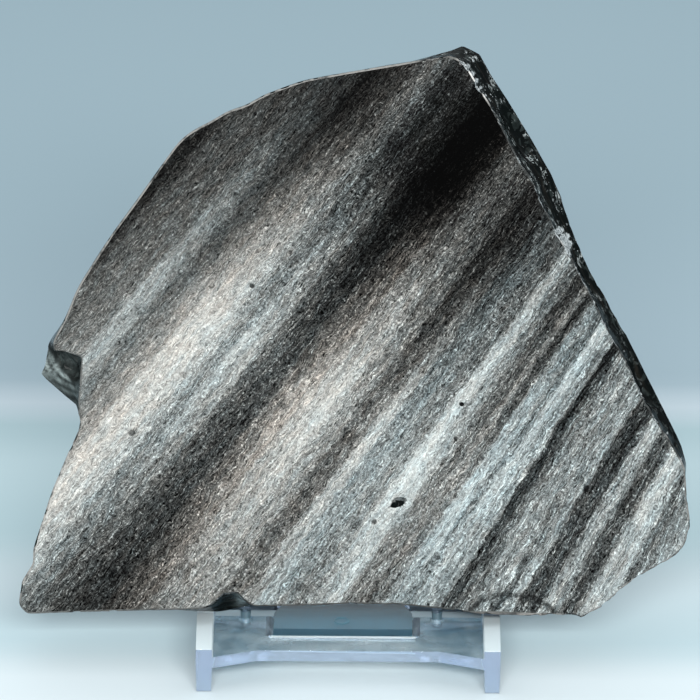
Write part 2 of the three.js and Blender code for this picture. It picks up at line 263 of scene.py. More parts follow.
class Sheet:
    """A material's node tree, with short calls that add one node each and return its output."""

    def __init__(self, name: str) -> None:
        """Starts an empty tree that has only its output.

        Args:
            name: the material's name.
        """
        self.material = bpy.data.materials.new(name)
        self.material.use_nodes = True
        self.tree = self.material.node_tree
        self.tree.nodes.clear()
        self.output = self.tree.nodes.new("ShaderNodeOutputMaterial")

    def node(self, kind: str, inputs: dict[str | int, Value | tuple] | None = None,
             **settings: object) -> bpy.types.Node:
        """Adds a node.

        Args:
            kind: the node's type, without ShaderNode.
            inputs: what goes into its sockets: an output to link, or a plain value.
            settings: its other properties.

        Returns:
            The node.
        """
        made = self.tree.nodes.new("ShaderNode" + kind)
        for key, value in settings.items():
            setattr(made, key, value)
        for key, value in (inputs or {}).items():
            self.feed(made.inputs[key], value)
        return made

    def feed(self, socket: Socket, value: Value | tuple) -> None:
        """Links an output to a socket, or sets its plain value.

        Args:
            socket: the input.
            value: an output to link, or a plain value.
        """
        if isinstance(value, bpy.types.NodeSocket):
            self.tree.links.new(value, socket)
        else:
            socket.default_value = value

    def math(self, operation: str, *values: Value) -> Socket:
        """One step of arithmetic."""
        return self.node("Math", dict(enumerate(values)), operation=operation).outputs[0]

    def folded(self, operation: str, *values: Value) -> Socket:
        """One operation carried through some values, from the first to the last."""
        return reduce(lambda before, value: self.math(operation, before, value), values)

    def vector(self, operation: str, *values: Value | tuple) -> bpy.types.Node:
        """One step of vector arithmetic."""
        return self.node("VectorMath", dict(enumerate(values)), operation=operation)

    def step(self, value: Value, rise: Rise) -> Socket:
        """A value put through a smooth rise.

        Args:
            value: what goes in.
            rise: the rise.

        Returns:
            The risen value.
        """
        made = self.node("MapRange", interpolation_type="SMOOTHSTEP")
        for key, item in zip(("Value", "From Min", "From Max", "To Min", "To Max"),
                             (value, *astuple(rise))):
            self.feed(made.inputs[key], item)
        return made.outputs[0]

    def near(self, value: Value, reach: float, blend: float) -> Socket:
        """1 where a value is within a reach of 0 either way, with a narrow blend past it."""
        return self.step(self.math("ABSOLUTE", value), Rise(reach + blend, reach - blend))

    def noise_node(self, vector: Socket, cloud: Cloud) -> bpy.types.Node:
        """Adds a noise texture, which gives a value and a colour."""
        return self.node("TexNoise", {"Vector": vector, "Scale": cloud.scale,
                                      "Detail": cloud.detail, "Roughness": cloud.roughness})

    def noise(self, vector: Socket, cloud: Cloud) -> Socket:
        """Smooth noise from 0 to 1."""
        return self.noise_node(vector, cloud).outputs[0]

    def mix(self, share: Value, first: Socket | tuple, second: Socket | tuple) -> Socket:
        """Mixes two colours.

        Args:
            share: how much of the second.
            first: the first colour.
            second: the second colour.

        Returns:
            The mixed colour.
        """
        made = self.node("Mix", data_type="RGBA", clamp_result=True)
        for socket, value in zip((made.inputs[0], made.inputs[6], made.inputs[7]),
                                 (share, first, second)):
            self.feed(socket, (*value, 1.0) if isinstance(value, tuple) else value)
        return made.outputs[2]

    def object_place(self) -> Socket:
        """Where the surface point is, in the object's own coordinates."""
        return self.node("TexCoord").outputs["Object"]

    def axes(self, vector: Socket) -> bpy.types.NodeOutputs:
        """The three parts of a vector."""
        return self.node("SeparateXYZ", {0: vector}).outputs

    def facing(self, axis: int, rise: Rise) -> Socket:
        """How much the flat face looks along an axis, put through a rise."""
        normal = self.node("NewGeometry").outputs["True Normal"]
        return self.step(self.axes(normal)[axis], rise)

    def attribute(self, name: str) -> Socket:
        """A number that the mesh carries at each vertex."""
        return self.node("Attribute", attribute_name=name).outputs["Fac"]

    def bump(self, height: Socket, strength: float, distance: float) -> Socket:
        """A normal tilted by a height."""
        made = self.node("Bump", {"Height": height, "Strength": strength, "Distance": distance})
        return made.outputs[0]

    def surface(self, inputs: dict[str | int, Value | tuple]) -> bpy.types.Material:
        """Ends the tree with one principled surface.

        Args:
            inputs: what goes into its sockets.

        Returns:
            The material.
        """
        shader = self.node("BsdfPrincipled", inputs)
        self.tree.links.new(shader.outputs[0], self.output.inputs["Surface"])
        return self.material


@dataclass(frozen=True)
class SheenBand:
    """One band of sheen: its angle in the fan and half width in degrees, how light it is from 0 to
    1 at the slab's near end, middle and far end, and its hue from -1, teal, to 1, brown."""

    angle: float
    width: float
    near: float
    middle: float
    far: float
    hue: float


@dataclass(frozen=True)
class FanSockets:
    """What the fan's nodes give: level and hue of the sheen, and the place along and across it."""

    level: Socket
    hue: Socket
    along: Socket
    across: Socket
    depth: Socket


@dataclass(frozen=True)
class SheenFan:
    """Flow bands that spread like a fan from a point far beyond the slab's upper right.

    A band's angle is counted from straight left and downwards, and opened out about one bearing.
    Bands below the slant angle draw together towards the far end. wander and ragged are how far, in
    degrees, a band strays slowly and in fine tatters.
    """

    middle_x: float = 507.3
    middle_z: float = 722.2
    slab_reach: float = 851.3
    near_end: float = -52.0
    far_end: float = 58.0
    bearing: float = 54.2
    bearing_angle: float = 53.8
    opening: float = 0.37
    slant_angle: float = 55.0
    slant_per_mm: float = 0.00167
    mm_per_degree: float = 5.5
    wander: float = 0.30
    wander_spread: tuple[float, float] = (0.8, 0.09)
    wander_cloud: Cloud = Cloud(1.0)
    ragged: float = 0.34
    ragged_cloud: Cloud = Cloud(4.5, 3.0, 0.65)
    ground_share: float = 0.02
    ground: tuple[float, float, float] = (0.25, 0.5, 0.5)
    bands: tuple[SheenBand, ...] = tuple(SheenBand(*row) for row in (
        (39.70, 0.35, 0.10, 0.12, 0.15, -0.1), (40.50, 0.45, 0.22, 0.34, 0.42, -0.2),
        (41.25, 0.30, 0.19, 0.39, 0.58, -0.2), (42.27, 0.28, 0.19, 0.62, 0.68, -0.6),
        (42.85, 0.30, 0.17, 0.37, 0.60, -0.5), (43.25, 0.20, 0.06, 0.46, 0.58, -0.1),
        (43.65, 0.25, 0.13, 0.60, 0.52, 0.2), (44.40, 0.35, 0.19, 0.80, 0.82, 0.2),
        (44.95, 0.28, 0.32, 0.84, 0.75, -0.1), (45.35, 0.22, 0.28, 0.70, 0.66, -0.5),
        (45.85, 0.20, 0.16, 0.58, 0.46, -0.7), (46.22, 0.14, 0.10, 0.84, 0.36, -0.7),
        (46.66, 0.26, 0.14, 0.70, 0.31, -0.4), (47.25, 0.24, 0.06, 0.36, 0.21, -0.4),
        (47.95, 0.35, 0.00, 0.27, 0.17, -0.5), (48.65, 0.28, 0.00, 0.46, 0.22, 0.4),
        (49.15, 0.28, 0.05, 0.66, 0.32, 0.6), (49.75, 0.28, 0.19, 0.78, 0.42, 0.0),
        (50.30, 0.24, 0.30, 0.86, 0.48, -0.1), (50.92, 0.30, 0.23, 0.60, 0.56, -0.2),
        (51.52, 0.20, 0.11, 0.34, 0.40, -0.1), (51.85, 0.18, 0.11, 0.46, 0.38, 0.0),
        (52.30, 0.20, 0.16, 0.79, 0.44, -0.3), (52.80, 0.18, 0.18, 0.57, 0.72, -1.0),
        (53.15, 0.22, 0.32, 0.62, 0.48, -1.0), (53.70, 0.25, 0.30, 0.58, 0.40, -0.6),
        (54.33, 0.20, 0.62, 0.92, 0.34, -0.6), (54.80, 0.20, 0.33, 0.80, 0.72, -0.7),
        (55.35, 0.25, 0.18, 0.50, 0.42, -0.3), (55.75, 0.14, 0.44, 0.55, 0.20, -0.1),
        (56.02, 0.12, 0.14, 0.50, 0.20, -0.4), (56.65, 0.21, 0.45, 0.80, 0.28, -1.1),
        (57.00, 0.10, 0.36, 0.50, 0.46, -1.1), (57.40, 0.20, 0.78, 0.72, 0.52, -1.0),
        (57.75, 0.16, 0.50, 0.62, 0.56, -1.0), (58.32, 0.13, 0.14, 0.22, 0.26, -0.9),
        (58.65, 0.18, 0.38, 0.40, 0.32, -0.7), (59.25, 0.30, 0.50, 0.57, 0.46, -0.7),
        (59.90, 0.10, 0.62, 0.40, 0.40, -0.8), (60.20, 0.10, 0.52, 0.64, 0.54, -0.9),
        (60.85, 0.20, 0.13, 0.26, 0.38, -0.8), (61.55, 0.20, 0.66, 0.58, 0.50, -0.7),
        (62.22, 0.22, 0.26, 0.30, 0.38, -0.6), (62.95, 0.25, 0.74, 0.68, 0.60, -0.6),
        (63.35, 0.14, 0.54, 0.80, 0.60, -0.9), (63.90, 0.32, 0.36, 0.44, 0.44, -0.8),
        (64.60, 0.40, 0.56, 0.60, 0.50, -0.8),
    ))

    def centre(self) -> tuple[float, float, float]:
        """The fan's middle in the row frame, in metres."""
        point = SLAB_FRAME.to_row(np.array([self.middle_x, 0.0, self.middle_z]))
        return tuple(point.tolist())

    def add_to(self, sheet: Sheet) -> FanSockets:
        """Adds the fan's nodes.

        Each band weighs in by a bell curve of the angle. Level and hue are the weighted means of
        the bands' own, and a band's level goes from near over middle to far along the slab.

        Args:
            sheet: the material's tree.

        Returns:
            The sockets that the finishes read.
        """
        place = sheet.vector("SUBTRACT", sheet.object_place(), self.centre()).outputs[0]
        left = self.along_axis(sheet, place, -SLAB_FRAME.across())
        down = self.along_axis(sheet, place, -SLAB_FRAME.up())
        depth = self.along_axis(sheet, place, SLAB_FRAME.behind())
        reach = sheet.math("SQRT", sheet.math("MULTIPLY_ADD", left, left,
                                              sheet.math("MULTIPLY", down, down)))
        along = sheet.math("SUBTRACT", reach, self.slab_reach)
        angle = self.opened(sheet, sheet.math("DEGREES", sheet.math("ARCTAN2", down, left)), along)
        levels: Value | tuple = tuple(self.ground_share * value for value in self.ground)
        hue: Value = 0.0
        weight: Value = self.ground_share
        for band in self.bands:
            bell = self.bell(sheet, angle, band)
            levels = sheet.vector("MULTIPLY_ADD", (band.near, band.middle, band.far), bell,
                                  levels).outputs[0]
            hue = sheet.math("MULTIPLY_ADD", bell, band.hue, hue)
            weight = sheet.math("ADD", weight, bell)
        level = sheet.vector("DOT_PRODUCT", levels, self.shares(sheet, along)).outputs[1]
        return FanSockets(sheet.math("DIVIDE", level, weight), sheet.math("DIVIDE", hue, weight),
                          along, sheet.math("MULTIPLY", angle, self.mm_per_degree), depth)

    def along_axis(self, sheet: Sheet, place: Socket, axis: Array) -> Socket:
        """How far a place lies along an axis, in millimetres."""
        return sheet.vector("DOT_PRODUCT", place, tuple((axis / MM).tolist())).outputs[1]

    def opened(self, sheet: Sheet, raw: Socket, along: Socket) -> Socket:
        """The band angle: opened out about the bearing, slanted below, and wandering slowly.

        Args:
            sheet: the material's tree.
            raw: the bearing from the fan's middle, in degrees.
            along: the distance along the slab, in millimetres.

        Returns:
            The band angle in degrees.
        """
        angle = sheet.math("MULTIPLY_ADD", raw, 1 / self.opening,
                           self.bearing_angle - self.bearing / self.opening)
        below = sheet.math("MAXIMUM", sheet.math("SUBTRACT", angle, self.slant_angle), 0.0)
        slant = sheet.folded("MULTIPLY", below, along, self.slant_per_mm)
        angle = sheet.math("SUBTRACT", angle, slant)
        across, length = self.wander_spread
        spot = sheet.node("CombineXYZ", {0: sheet.math("MULTIPLY", angle, across),
                                         1: sheet.math("MULTIPLY", along, length)}).outputs[0]
        shift = sheet.math("SUBTRACT", sheet.noise(spot, self.wander_cloud), 0.5)
        ragged = sheet.math("SUBTRACT", sheet.noise(spot, self.ragged_cloud), 0.5)
        shift = sheet.math("MULTIPLY_ADD", ragged, self.ragged / self.wander, shift)
        return sheet.math("MULTIPLY_ADD", shift, self.wander, angle)

    def bell(self, sheet: Sheet, angle: Socket, band: SheenBand) -> Socket:
        """A band's bell curve of the angle."""
        offset = sheet.math("MULTIPLY_ADD", angle, 1 / band.width, -band.angle / band.width)
        return sheet.math("POWER", math.exp(-1), sheet.math("MULTIPLY", offset, offset))

    def shares(self, sheet: Sheet, along: Socket) -> Socket:
        """How much of the near, middle and far levels a place takes: straight ramps between.

        Args:
            sheet: the material's tree.
            along: the distance along the slab.

        Returns:
            The three shares as a vector.
        """
        near, far = (sheet.node("Clamp", {0: sheet.math("DIVIDE", along, end)}).outputs[0]
                     for end in (self.near_end, self.far_end))
        middle = sheet.folded("SUBTRACT", 1.0, near, far)
        return sheet.node("CombineXYZ", {0: near, 1: middle, 2: far}).outputs[0]


@dataclass(frozen=True)
class Grain:
    """Fine streaks along the bands: size across and along in millimetres, and strength. sway is how
    far a streak sways to the side, in millimetres. Ridged noise makes thin light threads."""

    across: float
    along: float
    strength: float
    detail: float = 2.0
    sway: float = 0.0
    ridged: bool = False

    def add_to(self, sheet: Sheet, fan: FanSockets) -> Socket:
        """Noise around 0, stretched along the bands, times the strength.

        Args:
            sheet: the material's tree.
            fan: the fan's sockets.

        Returns:
            The grain's value.
        """
        across = fan.across
        if self.sway:
            slow = Cloud(SWAYS_PER_STREAK / (self.along * MM), 1.0)
            wave = sheet.noise(sheet.object_place(), slow)
            across = sheet.math("MULTIPLY_ADD", wave, 2 * self.sway, across)
        spot = sheet.node("CombineXYZ", {
            0: sheet.math("DIVIDE", across, self.across),
            1: sheet.math("DIVIDE", fan.along, self.along),
            2: sheet.math("DIVIDE", fan.depth, self.across),
        }).outputs[0]
        noise = sheet.noise(spot, Cloud(1.0, self.detail, GRAIN_ROUGHNESS))
        value = sheet.math("SUBTRACT", noise, 0.5)
        if self.ridged:
            value = sheet.math("SUBTRACT", RIDGE_MEAN, sheet.math("ABSOLUTE", value))
        return sheet.math("MULTIPLY", value, self.strength)


@dataclass(frozen=True)
class PolishedFace:
    """The polished face: bands of silver sheen in black glass, made of short fine streaks.

    streaky and calm are where across the bands the streaks grow stronger and the grain weaker.
    """

    fan: SheenFan = SheenFan()
    grains: tuple[Grain, ...] = (
        Grain(0.23, 0.52, 2.3, 3.0, 0.16),
        Grain(0.38, 2.0, 3.6, 2.0, 0.32, True),
        Grain(0.28, 3.6, 1.5, 1.0, 0.2),
        Grain(0.60, 3.2, 0.7, 2.0, 0.3),
    )
    streaks: tuple[Grain, ...] = (Grain(0.55, 16.0, 0.7), Grain(1.5, 24.0, 0.4))
    streaky: Rise = Rise(300.0, 322.0, 1.0, 2.2)
    calm: Rise = Rise(236.0, 250.0, 0.8, 1.05)
    depth_curve: tuple[float, float, float] = (-1.1, 1.28, 0.06)
    bite_line: tuple[float, float] = (-2.1, 1.9)
    # Painted glints: tiny bright specks in the sheen.
    painted_glint: Grain = Grain(0.26, 0.45, 1.0, 1.0)
    painted_glint_rise: Rise = Rise(0.20, 0.36, 0.0, 0.24)
    hue_grain: Grain = Grain(1.3, 6.0, 2.6)
    red_step: float = 0.115
    blue_step: float = 0.06
    blue_level: float = 0.95
    # painted shade: how much of the level a polished scar's hollow loses
    hollow_shade: float = 0.5
    darkest: float = 0.015
    brightest: float = 1.15
    display_power: float = 2.2
    lightest: float = 0.62
    roughness: float = 0.09
    specular: float = 0.10

    def material(self) -> bpy.types.Material:
        """Level of sheen, plus grain that grows with it, plus painted glints, then hue.

        Returns:
            The material.
        """
        sheet = Sheet("polished_banded_obsidian")
        fan = self.fan.add_to(sheet)
        streaks = self.summed(sheet, fan, self.streaks)
        streaks = sheet.math("MULTIPLY", streaks, sheet.step(fan.across, self.streaky))
        grain = sheet.math("ADD", self.summed(sheet, fan, self.grains), streaks)
        grain = sheet.math("MULTIPLY", grain, sheet.step(fan.across, self.calm))
        light = sheet.math("MAXIMUM", grain, 0.0)
        grain = sheet.math("MULTIPLY_ADD", sheet.math("MULTIPLY", light, light),
                           self.grain_bite(sheet, fan.level), grain)
        level = sheet.math("MULTIPLY_ADD", grain, self.grain_depth(sheet, fan.level), fan.level)
        # Painted glints add bright specks to the level.
        level = sheet.math("ADD", level, sheet.step(self.painted_glint.add_to(sheet, fan), self.painted_glint_rise))
        # Painted shade darkens the polished face in its hollows.
        level = sheet.math("MULTIPLY", level, self.painted_hollow_shade(sheet))
        level = sheet.math("MINIMUM", sheet.math("MAXIMUM", level, self.darkest), self.brightest)
        grey = sheet.math("MULTIPLY", sheet.math("POWER", level, self.display_power), self.lightest)
        return sheet.surface({
            "Base Color": self.tinted(sheet, fan, grey),
            "Roughness": self.roughness,
            "Specular IOR Level": self.specular,
        })

    def summed(self, sheet: Sheet, fan: FanSockets, layers: tuple[Grain, ...]) -> Socket:
        """The sum of some grain layers."""
        return sheet.folded("ADD", *(layer.add_to(sheet, fan) for layer in layers))

    def grain_depth(self, sheet: Sheet, level: Socket) -> Socket:
        """How strong the grain is: a parabola of the level, highest in the middle greys.

        Args:
            sheet: the material's tree.
            level: how light the bands are.

        Returns:
            The factor for the grain.
        """
        square, straight, base = self.depth_curve
        bent = sheet.math("MULTIPLY_ADD", level, square, straight)
        return sheet.math("MULTIPLY_ADD", level, bent, base)

    def grain_bite(self, sheet: Sheet, level: Socket) -> Socket:
        """How much the light grain's square adds: its specks stand out on dark bands."""
        return sheet.math("MULTIPLY_ADD", level, *self.bite_line)

    def painted_hollow_shade(self, sheet: Sheet) -> Socket:
        """Painted shade: darker in the hollows of the polished scars and pinholes."""
        return sheet.math("MULTIPLY_ADD", sheet.attribute("hollow"), -self.hollow_shade, 1.0)

    def tinted(self, sheet: Sheet, fan: FanSockets, grey: Socket) -> Socket:
        """The grey with red raised and blue lowered by the hue, which also varies in streaks.

        Args:
            sheet: the material's tree.
            fan: the fan's sockets.
            grey: the grey.

        Returns:
            The colour.
        """
        hue = sheet.math("ADD", fan.hue, self.hue_grain.add_to(sheet, fan))
        red = sheet.math("MULTIPLY_ADD", hue, self.red_step, 1.0)
        blue = sheet.math("MULTIPLY_ADD", hue, -self.blue_step, self.blue_level)
        red, blue = sheet.math("MULTIPLY", grey, red), sheet.math("MULTIPLY", grey, blue)
        return sheet.node("CombineColor", {0: red, 1: grey, 2: blue}).outputs[0]


@dataclass(frozen=True)
class BrokenGlass:
    """A glassy break: black facets of which some are greenish grey painted reflections, light
    hairline cracks between them that are painted highlights, a green cast painted where light comes
    through thin glass, white flecks that are painted glints, and white where the glass is crushed.

    Each spread scales the map along the rim. lively_up and lively_right are where, in height and
    to the right, the painted crack highlights and glint flecks grow frequent.
    """

    black: Colour = (0.0035, 0.0050, 0.0050)
    # Greenish grey on some facets is a painted reflection.
    facet_highlight: Colour = (0.036, 0.047, 0.046)
    brown: Colour = (0.020, 0.018, 0.015)
    # The light hairline cracks are a painted highlight.
    crack_highlight: Colour = (0.38, 0.42, 0.42)
    # Painted light coming through thin glass, in a green cast.
    painted_glow: Colour = (0.40, 0.47, 0.465)
    crushed: Colour = (0.60, 0.64, 0.65)
    crushed_dark: Colour = (0.13, 0.15, 0.155)
    # The white flecks are painted glints.
    glint_fleck: Colour = (0.56, 0.61, 0.61)
    facet_spread: tuple[float, float, float] = (18.0, 34.0, 1.0)
    facet_rise: Rise = Rise(0.62, 0.92)
    facet_cloud: Cloud = Cloud(1.6, 3.0, 0.6)
    facet_shade: Rise = Rise(0.30, 0.75)
    bend_cloud: Cloud = Cloud(1.3, 3.0)
    bend: tuple[float, float, float] = (0.9, 0.9, 0.0)
    crack_rise: Rise = Rise(0.13, 0.03)
    crack_cloud: Cloud = Cloud(1.6, 3.0, 0.7)
    crack_shown: Rise = Rise(0.53, 0.66)
    streak_spread: tuple[float, float, float] = (9.0, 90.0, 1.0)
    streak_cloud: Cloud = Cloud(1.0, 3.0, 0.6)
    streak_rise: Rise = Rise(0.54, 0.72, 0.0, 0.7)
    veil_cloud: Cloud = Cloud(620.0, 4.0, 0.7)
    veil_rise: Rise = Rise(0.30, 0.70, 0.35, 1.25)
    lively_up: Rise = Rise(0.05, 0.095, 0.15)
    lively_right: Rise = Rise(0.0, 0.015, 0.25)
    crush_cloud: Cloud = Cloud(1300.0, 3.0, 0.7)
    crush_ragged: float = 0.9
    crush_gain: float = 1.3
    crush_rise: Rise = Rise(0.35, 0.65)
    grit_cloud: Cloud = Cloud(1900.0, 2.0, 0.7)
    grit_rise: Rise = Rise(0.40, 0.60)
    fleck_spread: tuple[float, float, float] = (120.0, 130.0, 1.0)
    fleck_cloud: Cloud = Cloud(1.0, 3.0, 0.7)
    fleck_rise: Rise = Rise(0.0, 0.04, 0.0, 0.8)
    cluster_cloud: Cloud = Cloud(0.9)
    cluster_edge: Rise = Rise(0.35, 0.70, 0.78, 0.63)
    relief_cloud: Cloud = Cloud(520.0)
    relief: tuple[float, float] = (0.45, 0.0003)
    roughness: float = 0.13
    crushed_roughness: float = 0.53
    index: float = 1.09

    def material(self) -> bpy.types.Material:
        """Facets, streaks and painted glow through thin parts, then painted crack highlights, crushed
        glass and painted glint flecks over them.

        Returns:
            The material.
        """
        sheet = Sheet("broken_obsidian")
        place = sheet.object_place()
        rim = sheet.node("UVMap", uv_map="rim").outputs[0]
        facets = self.spread(sheet, rim, self.facet_spread)
        streaks = sheet.noise(self.spread(sheet, rim, self.streak_spread), self.streak_cloud)
        colour = sheet.mix(sheet.step(streaks, self.streak_rise), self.faceted(sheet, facets),
                           self.brown)
        # Painted glow of light through thin glass.
        glow_share = sheet.step(sheet.noise(place, self.veil_cloud), self.veil_rise)
        glow_share = sheet.math("MULTIPLY", sheet.attribute("painted_glow"), glow_share)
        colour = sheet.mix(glow_share, colour, self.painted_glow)
        lively = self.lively(sheet, place)
        # Painted highlights along the cracks.
        crack_highlights = sheet.math("MULTIPLY", self.highlit_cracks(sheet, facets), lively)
        colour = sheet.mix(crack_highlights, colour, self.crack_highlight)
        crush = self.crushing(sheet, place)
        fine = sheet.noise(place, self.grit_cloud)
        grit = sheet.mix(sheet.step(fine, self.grit_rise), self.crushed_dark, self.crushed)
        colour = sheet.mix(crush, colour, grit)
        glint_flecks = sheet.math("MULTIPLY", self.glint_flecks(sheet, rim), lively)
        colour = sheet.mix(glint_flecks, colour, self.glint_fleck)
        dull = sheet.math("MAXIMUM", crush, glint_flecks)
        height = sheet.math("MULTIPLY_ADD", fine, sheet.attribute("crush"),
                            sheet.noise(place, self.relief_cloud))
        return sheet.surface({
            "Base Color": colour,
            "Roughness": sheet.math("MULTIPLY_ADD", dull,
                                    self.crushed_roughness - self.roughness, self.roughness),
            "IOR": self.index,
            "Normal": sheet.bump(height, *self.relief),
        })

    def spread(self, sheet: Sheet, rim: Socket, scale: tuple[float, float, float]) -> Socket:
        """The rim map scaled."""
        return sheet.vector("MULTIPLY", rim, scale).outputs[0]

    def lively(self, sheet: Sheet, place: Socket) -> Socket:
        """How frequent the painted crack highlights and glint flecks are: more high up and on the
        right.

        Args:
            sheet: the material's tree.
            place: where the surface point is.

        Returns:
            A factor from 0 to 1.
        """
        x, _, z = sheet.axes(place)
        return sheet.math("MULTIPLY", sheet.step(z, self.lively_up),
                          sheet.step(x, self.lively_right))

    def crushing(self, sheet: Sheet, place: Socket) -> Socket:
        """Where the glass is crushed, with a ragged border.

        Args:
            sheet: the material's tree.
            place: where the surface point is.

        Returns:
            A share from 0 to 1.
        """
        ragged = sheet.math("MULTIPLY_ADD", sheet.noise(place, self.crush_cloud),
                            self.crush_ragged, -0.5 * self.crush_ragged)
        crush = sheet.math("MULTIPLY_ADD", sheet.attribute("crush"), self.crush_gain, ragged)
        return sheet.step(crush, self.crush_rise)

    def faceted(self, sheet: Sheet, facets: Socket) -> Socket:
        """Ragged cells, each black or a greenish grey painted reflection by its own random number.

        Args:
            sheet: the material's tree.
            facets: the facets' coordinates.

        Returns:
            The colour.
        """
        cell = sheet.node("TexVoronoi", {"Vector": self.bent(sheet, facets)}).outputs["Color"]
        tone = sheet.step(sheet.axes(cell)[0], self.facet_rise)
        shade = sheet.step(sheet.noise(facets, self.facet_cloud), self.facet_shade)
        return sheet.mix(sheet.math("MULTIPLY", tone, shade), self.black, self.facet_highlight)

    def highlit_cracks(self, sheet: Sheet, facets: Socket) -> Socket:
        """Painted highlights: fine light lines between the cells, that come and go.

        Args:
            sheet: the material's tree.
            facets: the facets' coordinates.

        Returns:
            1 on a crack.
        """
        edge = sheet.node("TexVoronoi", {"Vector": self.bent(sheet, facets)},
                          feature="DISTANCE_TO_EDGE").outputs["Distance"]
        shown = sheet.step(sheet.noise(facets, self.crack_cloud), self.crack_shown)
        return sheet.math("MULTIPLY", sheet.step(edge, self.crack_rise), shown)

    def bent(self, sheet: Sheet, facets: Socket) -> Socket:
        """The facets' coordinates bent by noise."""
        noise = sheet.noise_node(facets, self.bend_cloud).outputs[1]
        return sheet.vector("MULTIPLY_ADD", noise, self.bend, facets).outputs[0]

    def glint_flecks(self, sheet: Sheet, rim: Socket) -> Socket:
        """Painted glints: small ragged white flecks, in clusters.

        Args:
            sheet: the material's tree.
            rim: the rim map.

        Returns:
            1 on a fleck.
        """
        fine = sheet.noise(self.spread(sheet, rim, self.fleck_spread), self.fleck_cloud)
        cluster = sheet.noise(self.spread(sheet, rim, self.facet_spread), self.cluster_cloud)
        over = sheet.math("SUBTRACT", fine, sheet.step(cluster, self.cluster_edge))
        return sheet.step(over, self.fleck_rise)


@dataclass(frozen=True)
class GroundEdge:
    """The narrow ground edges: the stone's grey, a little lighter and duller, with fine bruises and
    stretches of painted highlight.
    """

    dark: Colour = (0.010, 0.012, 0.012)
    light: Colour = (0.06, 0.066, 0.066)
    # Painted highlight on the ground edge.
    gleam: Colour = (0.78, 0.76, 0.72)
    bright: Colour = (0.86, 0.87, 0.85)
    fine_cloud: Cloud = Cloud(900.0, 3.0, 0.7)
    fine_rise: Rise = Rise(0.34, 0.70)
    ragged_cloud: Cloud = Cloud(420.0, 3.0, 0.6)
    ragged_rise: Rise = Rise(0.30, 0.55)
    relief_cloud: Cloud = Cloud(1500.0)
    relief: tuple[float, float] = (0.3, 0.0002)
    roughness: float = 0.42
    index: float = 1.25

    def material(self) -> bpy.types.Material:
        """Fine noise between dark and light, stretches of painted highlight, and bright where it is
        crushed.

        Returns:
            The material.
        """
        sheet = Sheet("ground_obsidian_edge")
        place = sheet.object_place()
        fine = sheet.step(sheet.noise(place, self.fine_cloud), self.fine_rise)
        colour = sheet.mix(fine, self.dark, self.light)
        ragged = sheet.step(sheet.noise(place, self.ragged_cloud), self.ragged_rise)
        # Painted highlight along the stretches that the rim's gleam marks.
        gleam = sheet.math("MULTIPLY", sheet.attribute("gleam"), ragged)
        colour = sheet.mix(gleam, colour, self.gleam)
        colour = sheet.mix(sheet.attribute("crush"), colour, self.bright)
        return sheet.surface({
            "Base Color": colour,
            "Roughness": self.roughness,
            "IOR": self.index,
            "Normal": sheet.bump(sheet.noise(place, self.relief_cloud), *self.relief),
        })


@dataclass(frozen=True)
class SawnBack:
    """The sawn back: dull black, the bands faint in it, with the arcs that a saw leaves.

    The arcs are circles round arc_middle, arc_turns is their phase in radians per metre, and
    arc_uneven is how far they stray, in metres.
    """

    dark: Colour = (0.020, 0.022, 0.023)
    light: Colour = (0.17, 0.175, 0.178)
    grain: Grain = Grain(0.5, 1.6, 0.9)
    grain_depth: float = 0.6
    level_rise: Rise = Rise(0.05, 1.0)
    arc_middle: tuple[float, float, float] = (0.32, 0.02, -0.06)
    arc_turns: float = 4200.0
    arc_uneven: float = 0.0012
    uneven_cloud: Cloud = Cloud(60.0)
    faint_cloud: Cloud = Cloud(35.0)
    relief_cloud: Cloud = Cloud(1400.0)
    relief: tuple[float, float] = (0.30, 0.00015)
    roughness: float = 0.42
    arc_roughness: float = 0.06
    specular: float = 0.4

    def material(self) -> bpy.types.Material:
        """Faint bands times fine grain, with saw arcs in height and gloss.

        Returns:
            The material.
        """
        sheet = Sheet("sawn_obsidian_back")
        place = sheet.object_place()
        fan = SheenFan().add_to(sheet)
        grain = self.grain.add_to(sheet, fan)
        level = sheet.math("MULTIPLY_ADD", grain, self.grain_depth, fan.level)
        colour = sheet.mix(sheet.step(level, self.level_rise), self.dark, self.light)
        away = sheet.vector("DISTANCE", place, self.arc_middle).outputs[1]
        away = sheet.math("MULTIPLY_ADD", sheet.noise(place, self.uneven_cloud),
                          self.arc_uneven, away)
        arcs = sheet.math("SINE", sheet.math("MULTIPLY", away, self.arc_turns))
        faint = sheet.math("MULTIPLY", arcs, sheet.noise(place, self.faint_cloud))
        height = sheet.math("ADD", faint, sheet.noise(place, self.relief_cloud))
        return sheet.surface({
            "Base Color": colour,
            "Roughness": sheet.math("MULTIPLY_ADD", faint, self.arc_roughness, self.roughness),
            "Specular IOR Level": self.specular,
            "Normal": sheet.bump(height, *self.relief),
        })


